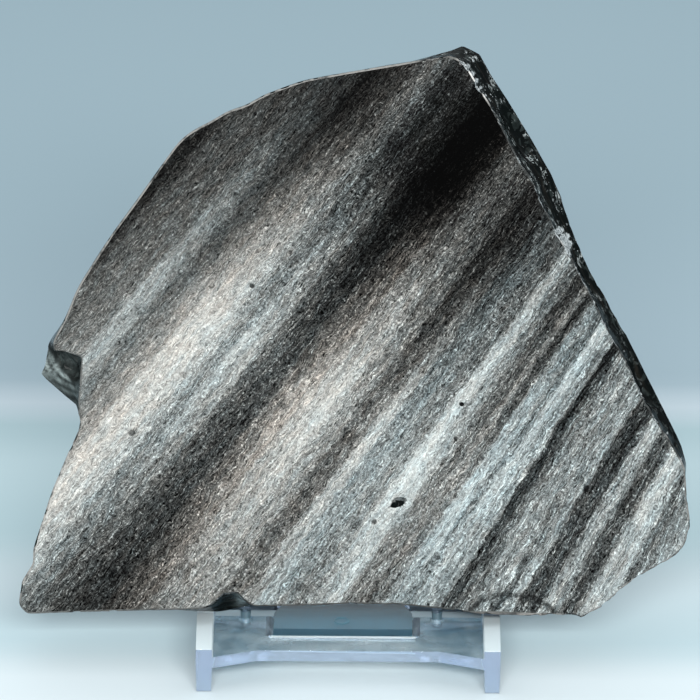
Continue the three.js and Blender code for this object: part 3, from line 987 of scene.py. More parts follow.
@dataclass(frozen=True)
class ClearPlastic:
    """Clear moulded polystyrene with a faint violet cast in its long ways through.

    A front, a top, an end, a reach and a middle are in millimetres, in the row frame or from the
    easel's middle. frost is how much less light frosted faces let through, front_frost is the same
    for upright faces in front, and blend is how wide the border of a zone is.
    """

    name: str = "clear_moulded_plastic"
    surface_tint: Colour = (0.975, 0.985, 1.0)
    front_tint: Colour = (0.66, 0.82, 1.0)
    front_frost: float = 0.28
    front_rise: Rise = Rise(-0.7, -0.9)
    # Whitish frost on the up-facing leg tops and the lip is a painted highlight; on the plate it is
    # haze.
    top_haze_and_highlight: Colour = (0.85, 0.97, 1.0)
    top_rise: Rise = Rise(0.55, 0.75)
    plate_tint: Colour = (0.86, 0.97, 1.0)
    # Painted shade: the plate darker towards its ends by the legs.
    plate_end_shade: Colour = (0.52, 0.68, 0.75)
    plate_middle: float = 11.0
    plate_haze: float = 0.25
    # Painted shade on the low bar under the stone, deepening towards its back.
    low_bar_shade: Colour = (0.33, 0.70, 0.82)
    low_bar_far_shade: Colour = (0.03, 0.07, 0.09)
    low_bar_shade_fade: tuple[float, float] = (1.5, 6.0)
    low_bar_front: float = -6.5
    low_bar_top: float = 3.5
    deep_tint: Colour = (0.50, 0.60, 0.98)
    density: float = 26.0
    index: float = 1.56
    easel_middle: float = -1.2
    legs_inside: float = 28.2
    foot_top: float = 0.0
    # Painted shade: dark slate on the panel's foot, below foot_top.
    foot_shade: Colour = (0.11, 0.18, 0.22)
    lip_middle: tuple[float, float] = (-2.3, -19.95)
    lip_reach: tuple[float, float] = (15.3, 0.55)
    frost: float = 0.85
    frost_roughness: float = 0.3
    leg_blend: float = 0.3
    bar_blend: float = 0.2
    lip_blend: float = 0.1
    haze_cloud: Cloud = Cloud(260.0, 3.0)
    haze_rise: Rise = Rise(0.45, 0.8, 0.015, 0.07)
    scuff_cloud: Cloud = Cloud(160.0, 3.0, 0.6)
    scuff_rise: Rise = Rise(0.35, 0.70, 0.5, 1.5)
    ripple_cloud: Cloud = Cloud(70.0, 1.0)
    ripple_relief: tuple[float, float] = (0.10, 0.0004)

    def material(self) -> bpy.types.Material:
        """Plain transmission with haze, frost and slow moulding ripples, and absorption inside; the
        tints hold painted shade and painted highlight.

        Returns:
            The material.
        """
        sheet = Sheet(self.name)
        place = sheet.object_place()
        haze_highlight_and_shade, low_bar = self.haze_highlight_and_shade(sheet, place), self.low_bar(sheet, place)
        front = sheet.math("MULTIPLY", sheet.facing(1, self.front_rise),
                           sheet.math("SUBTRACT", 1.0, low_bar))
        clear = sheet.math("MULTIPLY_ADD", haze_highlight_and_shade, -self.frost, 1.0)
        rough = sheet.math("MAXIMUM", haze_highlight_and_shade, low_bar)
        haze = sheet.step(sheet.noise(place, self.haze_cloud), self.haze_rise)
        ripples = sheet.noise(place, self.ripple_cloud)
        made = sheet.surface({
            "Base Color": self.tinted(sheet, place, front, haze_highlight_and_shade, low_bar),
            "Roughness": sheet.math("MULTIPLY_ADD", rough, self.frost_roughness, haze),
            "IOR": self.index,
            "Transmission Weight": sheet.math("MULTIPLY_ADD", front, -self.front_frost, clear),
            "Normal": sheet.bump(ripples, *self.ripple_relief),
        })
        inside = sheet.node("VolumeAbsorption", {"Color": (*self.deep_tint, 1.0),
                                                 "Density": self.density})
        sheet.tree.links.new(inside.outputs[0], sheet.output.inputs["Volume"])
        return made

    def tinted(self, sheet: Sheet, place: Socket, front: Socket, haze_highlight_and_shade: Socket,
               low_bar: Socket) -> Socket:
        """The tint of each zone, one over the other: painted shade on the plate's ends, the foot and
        the low bar, and painted highlight on the frosted tops.

        Args:
            sheet: the material's tree.
            place: where the surface point is.
            front: 1 on the faces that look to the front.
            haze_highlight_and_shade: how frosted the face is, as haze, painted highlight and painted
                shade.
            low_bar: 1 on the low bar.

        Returns:
            The colour.
        """
        # Painted shade towards the plate's ends.
        shaded_ends = self.from_middle(sheet, place, self.plate_middle, 2 * self.plate_middle)
        plate = sheet.mix(shaded_ends, self.plate_tint, self.plate_end_shade)
        # Painted shade on the low bar: darker towards its back.
        fade = Rise(*(edge * MM for edge in self.low_bar_shade_fade))
        far = sheet.step(sheet.axes(place)[1], fade)
        bar_shade = sheet.mix(far, self.low_bar_shade, self.low_bar_far_shade)
        colour: Socket | Colour = self.surface_tint
        # The zones lay painted shade on the plate's ends, the foot and the low bar, and painted
        # highlight on the frosted tops.
        for zone, tint in ((self.plate(sheet, place), plate), (front, self.front_tint),
                           (haze_highlight_and_shade, self.top_haze_and_highlight), (self.foot(sheet, place), self.foot_shade),
                           (low_bar, bar_shade)):
            colour = sheet.mix(zone, colour, tint)
        return colour

    def low_bar(self, sheet: Sheet, place: Socket) -> Socket:
        """1 on the low bar, whose plastic carries painted shade that deepens towards its back.

        Args:
            sheet: the material's tree.
            place: where the surface point is.

        Returns:
            1 on the bar and 0 elsewhere.
        """
        _, y, z = sheet.axes(place)
        front = self.low_bar_front
        behind = sheet.step(y, Rise((front - self.bar_blend) * MM, front * MM))
        low = sheet.math("LESS_THAN", z, self.low_bar_top * MM)
        between = sheet.math("SUBTRACT", 1.0, self.legs(sheet, place))
        return sheet.folded("MULTIPLY", behind, low, between)

    def from_middle(self, sheet: Sheet, place: Socket, near: float, far: float) -> Socket:
        """Rises from 0 to 1 between two distances to either side of the easel's middle."""
        offset = sheet.math("SUBTRACT", sheet.axes(place)[0], self.easel_middle * MM)
        return sheet.step(sheet.math("ABSOLUTE", offset), Rise(near * MM, far * MM))

    def legs(self, sheet: Sheet, place: Socket) -> Socket:
        """1 on the side legs, beyond their inside faces."""
        inside = self.legs_inside
        return self.from_middle(sheet, place, inside, inside + self.leg_blend)

    def foot(self, sheet: Sheet, place: Socket) -> Socket:
        """1 below the top of the foot, where painted shade goes."""
        return sheet.math("LESS_THAN", sheet.axes(place)[2], self.foot_top * MM)

    def plate(self, sheet: Sheet, place: Socket) -> Socket:
        """1 on the plate that the slab stands on.

        Args:
            sheet: the material's tree.
            place: where the surface point is.

        Returns:
            1 on the plate and 0 elsewhere.
        """
        _, y, z = sheet.axes(place)
        return sheet.math("MULTIPLY", sheet.math("LESS_THAN", y, self.low_bar_front * MM),
                          sheet.math("GREATER_THAN", z, self.low_bar_top * MM))

    def lip(self, sheet: Sheet, place: Socket) -> Socket:
        """1 on the plate's edge in front of its window, where a highlight is painted.

        Args:
            sheet: the material's tree.
            place: where the surface point is.

        Returns:
            1 on the lip and 0 elsewhere.
        """
        zones = [self.plate(sheet, place)]
        for axis, middle, reach in zip(sheet.axes(place), self.lip_middle, self.lip_reach):
            offset = sheet.math("SUBTRACT", axis, middle * MM)
            zones.append(sheet.near(offset, reach * MM, self.lip_blend * MM))
        return sheet.folded("MULTIPLY", *zones)

    def haze_highlight_and_shade(self, sheet: Sheet, place: Socket) -> Socket:
        """1 where the legs and the lip look up, as painted highlight, and on the foot, as painted
        shade, and a haze where the plate does.

        Args:
            sheet: the material's tree.
            place: where the surface point is.

        Returns:
            How frosted the surface is.
        """
        scuffs = sheet.step(sheet.noise(place, self.scuff_cloud), self.scuff_rise)
        haze = sheet.folded("MULTIPLY", scuffs, self.plate_haze, self.plate(sheet, place))
        # Up-facing leg tops and the lip get frost as painted highlight.
        top = sheet.folded("MAXIMUM", self.legs(sheet, place), self.lip(sheet, place), haze)
        top = sheet.math("MULTIPLY", top, sheet.facing(2, self.top_rise))
        return sheet.math("MAXIMUM", top, self.foot(sheet, place))


# ---- The slab -------------------------------------------------------------------------------


class Finish(Enum):
    """The slab's finishes, in the order of its material slots."""

    POLISHED = 0
    GROUND = 1
    BROKEN = 2
    SAWN = 3


@dataclass(frozen=True)
class RimRun:
    """One stretch of the rim, clockwise as seen from the front.

    Each point is (x, z) on the polished face, then (x, z) on the back. hollow is how far the side
    dips between them, shells is how strongly the break shows ripples, blur rounds the corners, and
    gleam is how strong the painted highlight on the ground edge is.
    """

    name: str
    hollow: float
    shells: float
    blur: float
    gleam: float
    points: tuple[tuple[float, float, float, float], ...]


RIM_RUNS = (
    RimRun("top corner", 0.5, 1.0, 0.2, 0.15, (
        (18.7, 117.7, 19.7, 118.4), (20.4, 117.2, 22.0, 119.4))),
    RimRun("bright stretch of the right side", 0.6, 1.0, 0.25, 1.0, (
        (22.3, 116.3, 25.6, 117.6), (25.2, 111.7, 27.9, 113.4), (26.0, 110.4, 28.8, 112.1))),
    RimRun("long right side, broken", 0.7, 1.0, 0.4, 0.02, (
        (28.4, 106.5, 31.4, 108.2), (33.1, 97.5, 36.7, 99.6),
        (37.3, 90.6, 40.8, 92.5), (39.7, 85.3, 43.1, 87.3), (42.2, 80.3, 45.4, 82.0),
        (45.2, 75.3, 48.0, 76.8), (48.8, 68.6, 51.5, 70.1), (53.1, 60.2, 55.5, 61.5),
        (56.9, 53.7, 58.9, 54.8), (61.2, 44.7, 63.5, 45.8), (64.4, 39.7, 66.2, 40.6),
        (67.6, 34.7, 68.8, 35.3))),
    RimRun("right end", 0.1, 0.35, 0.6, 0.25, (
        (69.4, 31.2, 69.9, 31.4), (69.7, 26.1, 69.5, 25.9), (70.6, 19.2, 70.0, 19.4),
        (69.4, 15.0, 68.7, 15.6), (67.9, 13.1, 67.3, 13.9))),
    RimRun("lower right, broken", 0.2, 0.7, 0.4, 0.25, (
        (65.8, 11.7, 65.2, 12.6), (61.4, 9.3, 60.6, 10.1), (56.8, 6.2, 56.2, 7.1),
        (52.5, 2.1, 51.8, 3.1), (47.9, -0.5, 47.4, 0.8), (42.8, 0.1, 42.6, 0.5),
        (36.7, -0.3, 36.5, -0.2))),
    RimRun("foot over the right rail", 0.0, 0.3, 0.4, 0.1, (
        (31.4, -0.1, 31.4, -0.5), (26.8, 0.1, 26.8, -0.5))),
    RimRun("bottom edge", 0.2, 0.4, 0.6, 0.08, (
        (19.3, 1.1, 19.3, 1.0), (9.6, 2.0, 9.6, 2.0), (-0.9, 2.1, -0.9, 2.1),
        (-11.4, 1.6, -11.4, 1.5), (-21.3, 1.4, -21.5, 0.8))),
    RimRun("chip in the bottom edge", 0.4, 0.8, 0.2, 0.0, (
        (-23.2, 2.6, -22.9, 0.7), (-24.6, 4.2, -24.8, 0.3), (-27.4, 3.9, -27.3, -0.3),
        (-28.7, 2.6, -28.6, -0.5))),
    RimRun("foot over the left rail", 0.0, 0.3, 0.4, 0.1, (
        (-30.7, 1.1, -30.7, -0.5), (-33.8, 0.6, -33.8, -0.5))),
    RimRun("lower left edge", 0.1, 0.3, 0.5, 0.12, (
        (-43.9, 0.4, -43.7, 0.5), (-55.7, 0.0, -55.5, 0.5), (-68.9, -0.5, -68.1, 0.4),
        (-70.6, 1.4, -69.8, 1.8))),
    RimRun("left edge, ground", -0.2, 0.15, 0.8, 0.5, (
        (-70.0, 6.4, -69.2, 6.7), (-67.5, 10.2, -66.9, 10.0), (-67.7, 13.0, -67.1, 13.0),
        (-63.8, 25.2, -63.2, 25.2), (-60.1, 34.2, -59.5, 34.2))),
    RimRun("shell-shaped break that stands out at the left", 1.1, 1.0, 0.2, 0.15, (
        (-58.3, 38.0, -57.8, 39.1), (-58.3, 42.7, -58.9, 43.1), (-58.3, 45.0, -61.2, 44.9),
        (-57.9, 49.8, -65.2, 48.4), (-57.8, 52.2, -66.3, 49.6), (-57.7, 53.7, -65.5, 51.3),
        (-59.8, 54.4, -65.2, 53.2), (-62.8, 54.8, -64.9, 54.9))),
    RimRun("long curved edge", -0.2, 0.15, 1.6, 0.35, (
        (-64.5, 55.6, -64.9, 56.5), (-61.2, 61.5, -60.9, 61.3), (-58.7, 68.1, -58.5, 67.6),
        (-54.9, 74.2, -54.7, 74.0), (-51.4, 79.7, -51.2, 79.2), (-46.2, 86.8, -46.0, 86.4),
        (-41.8, 93.2, -41.4, 92.8), (-37.3, 99.5, -36.8, 98.9), (-34.3, 101.8, -33.9, 101.2),
        (-31.0, 103.3, -30.6, 102.7), (-26.6, 106.2, -26.2, 105.5), (-24.1, 106.4, -23.9, 105.9),
        (-19.9, 109.1, -19.7, 108.4), (-11.3, 112.3, -11.1, 111.7), (-2.1, 114.0, -2.1, 113.4),
        (8.8, 115.9, 9.0, 115.4))),
)


@dataclass(frozen=True)
class Scar:
    """A flake scar: the inside of an ellipsoid. at is (x, depth, z), turn is in degrees about the
    depth axis, ripple is the height of its shell rings, finish is what its floor shows, and shade
    is how much painted shade a polished floor gets."""

    name: str
    at: tuple[float, float, float]
    radii: tuple[float, float, float]
    turn: float
    ripple: float = 0.0
    finish: Finish = Finish.BROKEN
    shade: float = 0.0


SCARS = (
    Scar("step low on the right of the face", (33.6, -2.1, -0.8), (14.5, 3, 8), 4, 0.0,
         Finish.POLISHED),
    Scar("pit in the face", (8.9, -0.3, 23.2), (1.6, 0.9, 0.62), -17),
    Scar("brow of the pit", (9.3, -0.5, 23.9), (1.9, 0.9, 1.1), -10, 0.0, Finish.POLISHED, 0.9),
    Scar("crushed edge on the right", (44.7, -0.4, 79.4), (1.6, 1.7, 5), -28),
    Scar("chip by the top corner", (17.2, 2, 118.8), (3.6, 3.6, 1.9), -12),
    Scar("flake high on the right side", (34.9, 3.2, 103.4), (4, 5, 12), -27, 0.10),
    Scar("flake on the right side", (50.9, 3.4, 73), (4, 5.2, 13), -30, 0.10),
    Scar("flake low on the right side", (62.6, 3.4, 49.6), (4, 5, 10), -29, 0.10),
    Scar("flake on the lower right", (63.5, 7.5, 3.5), (13, 7, 6), -33, 0.08),
    Scar("flake from the back, left", (-68.6, 12.2, 22), (11, 5.6, 20), 19, 0.12),
    Scar("flake from the back, upper left", (-50.4, 12.2, 87.6), (12, 5.6, 26), 35, 0.12),
    Scar("flake from the back, top", (-6.6, 12, 116.2), (24, 5, 11), -12, 0.12),
    Scar("flake from the back, right", (53.6, 12.2, 74), (10, 5.4, 25), -28, 0.12),
    Scar("hollow in the left break", (-60.6, 2.5, 51.4), (2.2, 3.0, 3.6), -40, 0.05),
    Scar("pinhole by the bright band", (22.3, -0.2, 44.4), (0.55, 0.6, 0.5), 0, 0.0,
         Finish.POLISHED, 1.7),
    Scar("pinhole at the left", (-46.9, -0.2, 37.9), (0.8, 0.6, 0.65), -30, 0.0,
         Finish.POLISHED, 0.9),
    Scar("pinhole high on the left", (-21.9, -0.2, 69.0), (0.6, 0.6, 0.5), 10, 0.0,
         Finish.POLISHED, 1.0),
    Scar("pinhole low on the right", (48.6, -0.2, 26.7), (0.6, 0.6, 0.9), 20, 0.0,
         Finish.POLISHED, 1.3),
    Scar("pinhole below the pit", (4.1, -0.2, 19.5), (0.6, 0.6, 0.5), -20, 0.0,
         Finish.POLISHED, 1.0),
)


class SlabRim:
    """The slab's rim rings in equal steps, with what each column of the slab's grid carries.

    The blurs are in millimetres along the rim.
    """

    corner_blurs: tuple[float, float, float] = (0.2, 0.6, 1.6)
    hollow_blur: float = 1.5
    shells_blur: float = 1.0
    slope_blur: float = 1.0

    def __init__(self, columns: int, inset: float) -> None:
        """Lays the columns along the rim by the mean length of its front and back.

        Args:
            columns: how many columns the grid has.
            inset: how far the ground edge draws in the polished face and the back.
        """
        rim = np.array([point for run in RIM_RUNS for point in run.points])
        carried = np.array([(run.hollow, run.shells, run.blur, run.gleam)
                            for run in RIM_RUNS for _ in run.points])
        face = self.drawn_in(rim[:, :2], inset)
        back = self.drawn_in(rim[:, 2:], inset)
        corners = np.hstack([rim, face, back, carried])
        corners = np.vstack([corners, corners[:1]])
        lengths = [np.linalg.norm(np.diff(corners[:, k:k + 2], axis=0), axis=1) for k in (0, 2)]
        arc = np.concatenate([[0.0], np.cumsum(sum(lengths) / 2)])
        self.length = float(arc[-1])
        self.step = self.length / columns
        self.arc = np.arange(columns) * self.step
        spread = np.stack([np.interp(self.arc, arc, column) for column in corners.T], axis=1)
        rings, (self.hollow, self.shells, blur, self.gleam) = spread[:, :8], spread[:, 8:].T
        rings = self.rounded(rings, blur)
        self.front, self.back = rings[:, 0:2], rings[:, 2:4]
        self.face_edge, self.back_edge = rings[:, 4:6], rings[:, 6:8]
        self.hollow = smoothed_ring(self.hollow, self.hollow_blur, self.step)
        shells = smoothed_ring(self.shells, self.shells_blur, self.step)
        self.shells = np.clip(shells, 0, 1)

    @staticmethod
    def drawn_in(ring: Array, amount: float) -> Array:
        """A clockwise ring's corners moved inwards, square to the line between their neighbours.

        Args:
            ring: the corners.
            amount: how far they move.

        Returns:
            The new corners.
        """
        along = np.roll(ring, -1, axis=0) - np.roll(ring, 1, axis=0)
        along /= np.linalg.norm(along, axis=1, keepdims=True)
        return ring - amount * np.stack([-along[:, 1], along[:, 0]], axis=1)

    def rounded(self, rings: Array, blur: Array) -> Array:
        """The rings with their corners rounded: a mix of three blurs, by each column's own.

        Args:
            rings: the rings' points.
            blur: each column's blur.

        Returns:
            The rounded rings.
        """
        layers = np.stack([smoothed_ring(rings, sigma, self.step) for sigma in self.corner_blurs])
        place = np.interp(blur, self.corner_blurs, (0.0, 1.0, 2.0))
        low = np.clip(np.floor(place).astype(int), 0, 1)
        share = (place - low)[:, None]
        columns = np.arange(len(rings))
        return layers[low, columns] * (1 - share) + layers[low + 1, columns] * share

    def outward(self, ring: Array) -> Array:
        """Outward directions along a clockwise ring, from its slope, slightly blurred.

        Args:
            ring: the ring's points.

        Returns:
            One unit vector for each point.
        """
        soft = smoothed_ring(ring, self.slope_blur, self.step)
        along = np.roll(soft, -1, axis=0) - np.roll(soft, 1, axis=0)
        along /= np.linalg.norm(along, axis=1, keepdims=True)
        return np.stack([-along[:, 1], along[:, 0]], axis=1)


@dataclass(frozen=True)
class Bruise:
    """A spot of crushed glass: its place in the slab's frame, its reach and its strength."""

    x: float
    z: float
    reach: float
    strength: float


BRUISES = (
    Bruise(22.7, 118.3, 0.55, 0.9),
    Bruise(25.0, 117.3, 0.8, 1.0),
    Bruise(24.2, 116.5, 0.35, 0.8),
    Bruise(23.1, 115.4, 0.5, 1.0),
    Bruise(24.0, 113.8, 0.5, 1.0),
    Bruise(24.9, 112.4, 0.45, 1.0),
    Bruise(25.8, 110.9, 0.4, 0.9),
    Bruise(26.8, 109.3, 0.3, 0.8),
    Bruise(42.6, 80.9, 0.8, 1.0),
    Bruise(43.8, 79.0, 1.3, 1.0),
    Bruise(44.8, 77.2, 1.3, 1.0),
    Bruise(45.8, 73.0, 0.5, 0.8),
    Bruise(46.6, 71.8, 0.4, 0.8),
    Bruise(48.0, 69.2, 0.4, 0.7),
    Bruise(30.1, 104.9, 0.4, 0.7),
    Bruise(56.3, 55.6, 0.4, 0.5),
    Bruise(65.7, 38.2, 0.5, 0.5),
    Bruise(68.7, 32.8, 0.5, 0.5),
)


@dataclass(frozen=True)
class ShellBreak:
    """Shell-shaped breaks along the broken side, in millimetres.

    gaps and depths are the limits between which each strike point's distance from the last one and
    its depth are drawn. A shell is a bowl that dies away over bowl_reach, with rings one ring_pitch
    apart that crowd together outwards and die away over ring_reach. stretch is how much shorter a
    shell is down the side than along it.
    """

    gaps: tuple[float, float] = (6.0, 15.0)
    most: int = 60
    end_gap: float = 5.0
    depths: tuple[float, float] = (-1.5, 2.5)
    stretch: float = 1.35
    bowl: float = 0.4
    bowl_reach: float = 4.0
    ring_height: float = 0.085
    ring_pitch: float = 1.5
    ring_crowding: float = 0.02
    ring_reach: float = 9.0
    rough_height: float = 0.16
    rough_cell: float = 2.2


@dataclass(frozen=True)
class RimChips:
    """Small chips along the front rim, in millimetres.

    largest and kept are each a value where nothing is broken, and what a fully broken rim adds.
    Where a chip's size, place outwards, depth and length lie is drawn between two limits.
    """

    tries: int = 190
    smallest: float = 0.35
    largest: tuple[float, float] = (0.6, 0.75)
    kept: tuple[float, float] = (0.25, 0.75)
    outwards: tuple[float, float] = (0.35, 0.75)
    depths: tuple[float, float] = (-0.2, 0.9)
    lengths: tuple[float, float] = (1.2, 2.2)
    skin: float = 0.1


@dataclass(frozen=True)
class PaintedGlowZones:
    """Where light coming through thin glass is painted, in the slab's frame.

    A pair of limits is where its window opens, from none to full. The painted light on the lobe of
    the left break ends at a straight ridge through lobe_at, square to lobe_way, and has rings round
    ring_at.
    """

    right_x: tuple[float, float] = (44.0, 52.0)
    right_z: tuple[float, float] = (26.0, 12.0)
    right_depth: tuple[float, float] = (0.0, 0.4)
    right_share: float = 0.45
    chip_at: tuple[float, float] = (-23.2, 2.8)
    chip_reach: tuple[float, float] = (1.4, 2.0)
    left_x: tuple[float, float] = (-57.0, -58.5)
    left_foot: tuple[float, float] = (36.0, 40.0)
    left_top: tuple[float, float] = (58.0, 54.0)
    left_share: float = 0.9
    lobe_at: tuple[float, float] = (-64.7, 54.6)
    lobe_way: tuple[float, float] = (0.80, 0.60)
    lobe_ridge: tuple[float, float] = (0.3, -0.3)
    lobe_foot: tuple[float, float] = (44.0, 50.0)
    lobe_least: float = 0.10
    ring_at: tuple[float, float] = (-57.0, 56.0)
    ring_pitch: float = 1.5
    ragged_cell: float = 1.7
    ragged_seed: int = 20
    ragged: tuple[float, float] = (0.75, 0.5)


@dataclass
class ObsidianSlab:
    """The stone: one closed grid of rings, from the middle of the polished face out over the rim,
    down the broken side and in over the sawn back.

    edge_steps are how far across and how much prouder each ring of a ground edge lies. A pit is a
    polished scar no larger than pit_size, and pit_rows are the rows that a small and a large one
    get. A scar's floor and lip are counted in how far inside its ellipsoid a point was. side_rise is
    in edge depths, and a bruise fades out from bruise_end of the thickness backwards.
    """

    thickness: float = 9.0
    edge_inset: float = 0.38
    edge_depth: float = 0.4
    side_rise: tuple[float, float] = (0.4, 2.5)
    bruise_start: float = 0.2
    bruise_end: float = 0.6
    columns: int = 920
    middle: tuple[float, float] = (0.0, 50.0)
    near_rim_rows: tuple[float, ...] = (0.90, 0.925, 0.945, 0.96, 0.97, 0.978, 0.985, 0.991, 0.996)
    inner_rows: tuple[float, ...] = (0.004, 0.3, 0.6, 0.8)
    pit_size: float = 2.0
    pit_margin: float = 1.1
    pit_points: int = 16
    pit_rows: tuple[int, int] = (7, 12)
    edge_steps: tuple[tuple[float, float], ...] = ((0.35, 0.06), (0.72, 0.07))
    back_edge_step: tuple[float, float] = (0.35, 0.07)
    side_rows: int = 15
    back_rows: tuple[float, ...] = (0.995, 0.985, 0.97, 0.95, 0.925, 0.895, 0.86, 0.82, 0.77, 0.71,
                                    0.64, 0.55, 0.35, 0.06)
    seed: int = 7
    shell_break: ShellBreak = ShellBreak()
    rim_chips: RimChips = RimChips()
    glow_zones: PaintedGlowZones = PaintedGlowZones()
    chip_white: float = 0.45
    chip_broken: float = 0.3
    ripple_offset: float = 4.0
    ripple_pitch: float = 2.3
    ripple_skin: float = 0.15
    floor_blend: float = 0.20
    # This and the next field set where painted shade falls at the lip and on the floor of a polished
    # scar.
    lip: tuple[float, float, float] = (0.0, 0.05, 0.20)
    floor_shade_reach: float = 0.25
    wear_height: float = 0.05
    wear_cells: tuple[float, float] = (0.9, 0.45)
    wear_reach: float = 0.8
    wear_least: float = 0.3
    fine_seed: int = 5
    sharp_angle: float = math.radians(28)
    finishes: dict[Finish, bpy.types.Material] = field(default_factory=dict)

    def build(self) -> bpy.types.Object:
        """Builds the slab, breaks its flakes off and dresses it.

        Returns:
            The finished object.
        """
        self.rim = SlabRim(self.columns, self.edge_inset)
        points, finish = self.rings()
        side = self.side_weight(points)
        points = self.shelled(points, side)
        crush = self.bruised(points)
        points, broken, hollow = self.flaked(points)
        points, chipped = self.chipped(points)
        points = self.worn(points, side)
        crush = np.clip(crush + self.chip_white * chipped * self.rim.shells[None, :], 0, 1)
        broken = broken | (chipped > self.chip_broken)
        piece = self.mesh(points, finish, broken)
        self.carry(piece, "crush", crush)
        # hollow carries the painted shade of the polished scars.
        self.carry(piece, "hollow", hollow)
        # gleam carries the painted highlight of the ground edge.
        self.carry(piece, "gleam", np.broadcast_to(self.rim.gleam, hollow.shape))
        # Painted light where thin glass would let light through.
        self.carry(piece, "painted_glow", self.painted_glow_share(points))
        for kind in Finish:
            piece.data.materials.append(self.finishes[kind])
        finish_piece(piece, "obsidian", "obsidian_slab")
        return piece

    def face_rows(self) -> Array:
        """Shares of the way from the middle to the face's edge: rows close in on each pit.

        A pit's rows span the shares of some points round it, each its own distance from the
        middle over that of the edge in the same bearing.

        Returns:
            The shares, in rising order.
        """
        middle = np.array(self.middle)
        edge = self.rim.face_edge - middle
        bearings = np.arctan2(edge[:, 1], edge[:, 0])
        order = np.argsort(bearings)
        turn = np.arange(self.pit_points) * 2 * math.pi / self.pit_points
        shares = [*self.inner_rows, *self.near_rim_rows]
        for scar in SCARS:
            reach = max(scar.radii)
            if scar.at[1] < 0 and reach < self.pit_size:
                round_it = np.stack([np.cos(turn), np.sin(turn)], axis=1) * reach * self.pit_margin
                spots = np.array([scar.at[0], scar.at[2]]) + round_it - middle
                edges = np.interp(np.arctan2(spots[:, 1], spots[:, 0]), bearings[order],
                                  np.linalg.norm(edge, axis=1)[order])
                spots = np.linalg.norm(spots, axis=1) / edges
                rows = self.pit_rows[reach > self.pit_size / 2]
                shares += np.linspace(spots.min(), spots.max(), rows).tolist()
        return np.unique(np.round(shares, 4))

    def rings(self) -> tuple[Array, Array]:
        """The slab before anything broke off it.

        The face and the back are the rim scaled towards the middle. The side goes from the front
        rim to the back one in a straight line, less a sine of the way across times its hollow.

        Returns:
            The grid of points, and the finish of each band of quads between two rows.
        """
        rim, middle = self.rim, np.array(self.middle)
        low, high = self.edge_depth, self.thickness - self.edge_depth
        rows, kinds = [], []
        for share in self.face_rows():
            rows.append((middle + share * (rim.face_edge - middle), 0.0))
            kinds.append(Finish.POLISHED)
        rows.append((rim.face_edge, 0.0))
        kinds.append(Finish.GROUND)
        for share, lift in self.edge_steps:
            out = rim.face_edge + (share + lift) * (rim.front - rim.face_edge)
            rows.append((out, low * (share - lift)))
            kinds.append(Finish.GROUND)
        outward = rim.outward((rim.front + rim.back) / 2)
        for share in np.linspace(0, 1, self.side_rows):
            dip = math.sin(math.pi * share) * rim.hollow[:, None]
            ring = rim.front * (1 - share) + rim.back * share - outward * dip
            rows.append((ring, low + share * (high - low)))
            kinds.append(Finish.BROKEN)
        kinds[-1] = Finish.GROUND
        share, lift = self.back_edge_step
        out = rim.back + (share - lift) * (rim.back_edge - rim.back)
        rows.append((out, high + low * (share + lift)))
        kinds.append(Finish.GROUND)
        rows.append((rim.back_edge, self.thickness))
        kinds.append(Finish.SAWN)
        for share in self.back_rows:
            rows.append((middle + share * (rim.back_edge - middle), self.thickness))
            kinds.append(Finish.SAWN)
        grid = np.stack([np.column_stack([ring[:, 0], np.full(len(ring), depth), ring[:, 1]])
                         for ring, depth in rows])
        return grid, np.array([kind.value for kind in kinds[:-1]])

    def side_weight(self, points: Array) -> Array:
        """1 on the side and 0 on the face and back, with a quick rise across the ground edges.

        Args:
            points: the grid.

        Returns:
            One weight for each point.
        """
        depth = points[..., 1]
        low, high = (share * self.edge_depth for share in self.side_rise)
        return smoothstep(low, high, depth) * smoothstep(low, high, self.thickness - depth)

    def shelled(self, points: Array, side: Array) -> Array:
        """Shell-shaped breaks along the side.

        The side is split between strike points on the front rim. Each cell is a shallow bowl with
        rings, which are a sine of the distance from its strike point that dies away.

        Args:
            points: the grid.
            side: how much each point belongs to the side.

        Returns:
            The grid, drawn in along the rim's outward directions.
        """
        shell = self.shell_break
        random = np.random.default_rng(self.seed)
        strikes = np.cumsum(random.uniform(*shell.gaps, shell.most))
        strikes = strikes[strikes < self.rim.length - shell.end_gap]
        depths = random.uniform(*shell.depths, len(strikes))
        along = self.rim.arc[None, :, None] - strikes
        along -= self.rim.length * np.round(along / self.rim.length)
        down = (points[..., 1:2] - depths) * shell.stretch
        away = np.sqrt(along ** 2 + down ** 2).min(axis=-1)
        bowl = shell.bowl * np.exp(-(away / shell.bowl_reach) ** 2)
        phase = 2 * math.pi * (away / shell.ring_pitch - shell.ring_crowding * away ** 2)
        rings = shell.ring_height * np.sin(phase) * np.exp(-away / shell.ring_reach)
        rough = shell.rough_height * lattice_noise(points, shell.rough_cell, self.seed)
        draw = (bowl + rings + rough) * side * self.rim.shells
        outward = self.rim.outward((self.rim.front + self.rim.back) / 2)
        moved = points.copy()
        moved[..., 0] -= draw * outward[:, 0]
        moved[..., 2] -= draw * outward[:, 1]
        return moved

    def bruised(self, points: Array) -> Array:
        """How crushed the glass is: the strongest of the bruises, each a bell curve of distance.

        Args:
            points: the grid.

        Returns:
            One value from 0 to 1 for each point.
        """
        crush = np.zeros(points.shape[:2])
        for spot in BRUISES:
            away = np.hypot(points[..., 0] - spot.x, points[..., 2] - spot.z) / spot.reach
            crush = np.maximum(crush, spot.strength * np.exp(-away ** 2))
        depth = points[..., 1]
        crush *= smoothstep(self.thickness, self.thickness * self.bruise_end, depth)
        return crush * smoothstep(0.0, self.bruise_start, depth)

